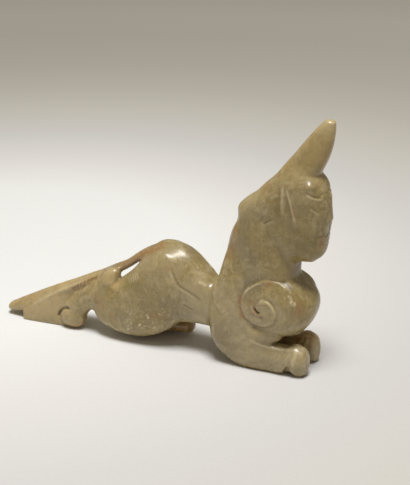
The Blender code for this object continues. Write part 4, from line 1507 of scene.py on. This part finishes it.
@dataclass
class Studio:
    """Pale floor, soft light and the photograph's camera.

    The light's place is given over the object: its height, how far it is moved towards the
    camera and how far to the camera's right. The aim is the point that shows at the aim pixel.
    """

    paper: PaperFinish = PaperFinish()
    floor_radius: float = 6.0
    floor_rings: int = 60
    floor_sides: int = 96
    light_height: float = 1.05
    light_front: float = 0.22
    light_side: float = 0.03
    light_width: float = 0.34
    light_power: float = 11.8
    sky: Colour = paint(240, 229, 208)
    sky_strength: float = 0.36
    azimuth: float = 24.0
    elevation: float = 21.0
    lens: float = 80.0
    sensor: float = 36.0
    clip: Span = (0.01, 50.0)
    distance: float = 0.3584
    aim: tuple[float, float, float] = (0.00541, 0.0, 0.03362)
    aim_pixel: tuple[float, float] = (173.0, 250.0)

    def floor(self, group: bpy.types.NodeTree) -> bpy.types.Object:
        """Build the floor: a disc whose rings widen outwards.

        The point of ring i at turn t lies at radius * (i / rings)^2 in the direction t.

        Args:
            group: The mottle group.

        Returns:
            The floor's object.
        """
        reach = (np.arange(1, self.floor_rings + 1) / self.floor_rings) ** 2
        reach = (reach * self.floor_radius)[:, None]
        turn = np.linspace(0, 2 * np.pi, self.floor_sides, endpoint=False)[None, :]
        points = np.stack([reach * np.cos(turn), reach * np.sin(turn), 0 * reach * turn], -1)
        sides = self.floor_sides
        corner = np.arange(self.floor_rings - 1)[:, None] * sides
        side = np.arange(sides)[None, :]
        following = (side + 1) % sides
        walls = np.stack([corner + side, corner + sides + side,
                          corner + sides + following, corner + following], -1)
        middle = self.floor_rings * sides
        faces = walls.reshape(-1, 4).tolist()
        faces += [[middle, k, (k + 1) % sides] for k in range(sides)]
        mesh = bpy.data.meshes.new("pale_floor")
        mesh.from_pydata(np.vstack([points.reshape(-1, 3), [[0, 0, 0]]]).tolist(), [], faces)
        mesh.materials.append(self.paper.build(group))
        floor = bpy.data.objects.new("pale_floor", mesh)
        bpy.context.scene.collection.objects.link(floor)
        return floor

    def back(self) -> Vector:
        """Return the direction from the object to the camera."""
        turn, rise = np.radians(self.azimuth), np.radians(self.elevation)
        return Vector((np.sin(turn) * np.cos(rise), -np.cos(turn) * np.cos(rise), np.sin(rise)))

    def camera(self) -> bpy.types.Object:
        """Set the camera so that the aim shows at its pixel of the photograph.

        Returns:
            The camera's object.
        """
        wide, high = PHOTO_SIZE
        back = self.back()
        right = Vector((0, 0, 1)).cross(back).normalized()
        up = back.cross(right)
        metres = self.distance * self.sensor / (self.lens * max(wide, high))
        across = (self.aim_pixel[0] - wide / 2) * metres
        upward = (high / 2 - self.aim_pixel[1]) * metres
        data = bpy.data.cameras.new("photo_camera")
        data.lens = self.lens
        data.sensor_width = self.sensor
        data.clip_start, data.clip_end = self.clip
        camera = bpy.data.objects.new("photo_camera", data)
        place = Vector(self.aim) + back * self.distance - right * across - up * upward
        axes = Matrix((right, up, back)).transposed().to_4x4()
        camera.matrix_world = Matrix.Translation(place) @ axes
        bpy.context.scene.collection.objects.link(camera)
        bpy.context.scene.camera = camera
        return camera

    def light(self) -> bpy.types.Object:
        """Hang the soft light above the object, on the camera's side, and set the sky.

        Returns:
            The light's object.
        """
        away = Vector((-self.back().x, -self.back().y, 0)).normalized()
        right = away.cross(Vector((0, 0, 1)))
        place = (away * -self.light_front + right * self.light_side
                 + Vector((0, 0, self.light_height)))
        data = bpy.data.lights.new("soft_box", "AREA")
        data.shape = "SQUARE"
        data.size = self.light_width
        data.energy = self.light_power
        lamp = bpy.data.objects.new("soft_box", data)
        lamp.location = place
        lamp.rotation_mode = "QUATERNION"
        lamp.rotation_quaternion = place.to_track_quat("Z", "Y")
        bpy.context.scene.collection.objects.link(lamp)
        world = bpy.data.worlds.new("plain_sky")
        world.use_nodes = True
        glow = world.node_tree.nodes["Background"].inputs
        glow["Color"].default_value = self.sky
        glow["Strength"].default_value = self.sky_strength
        bpy.context.scene.world = world
        return lamp


def main() -> None:
    """Build the stone and the studio, and report each piece."""
    logging.basicConfig(level=logging.INFO, format="%(name)s: %(message)s")
    bpy.context.scene.view_settings.view_transform = "Standard"
    group = mottle_group()
    studio = Studio()
    for thing in (studio.camera(), studio.light(), studio.floor(group)):
        log.info("studio: %s", thing.name)
    stone = Stone().build(JadeFinish().build(group))
    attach(stone, BODY)
    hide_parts(NODE)
    bpy.context.view_layer.update()


if __name__ == "__main__":
    main()
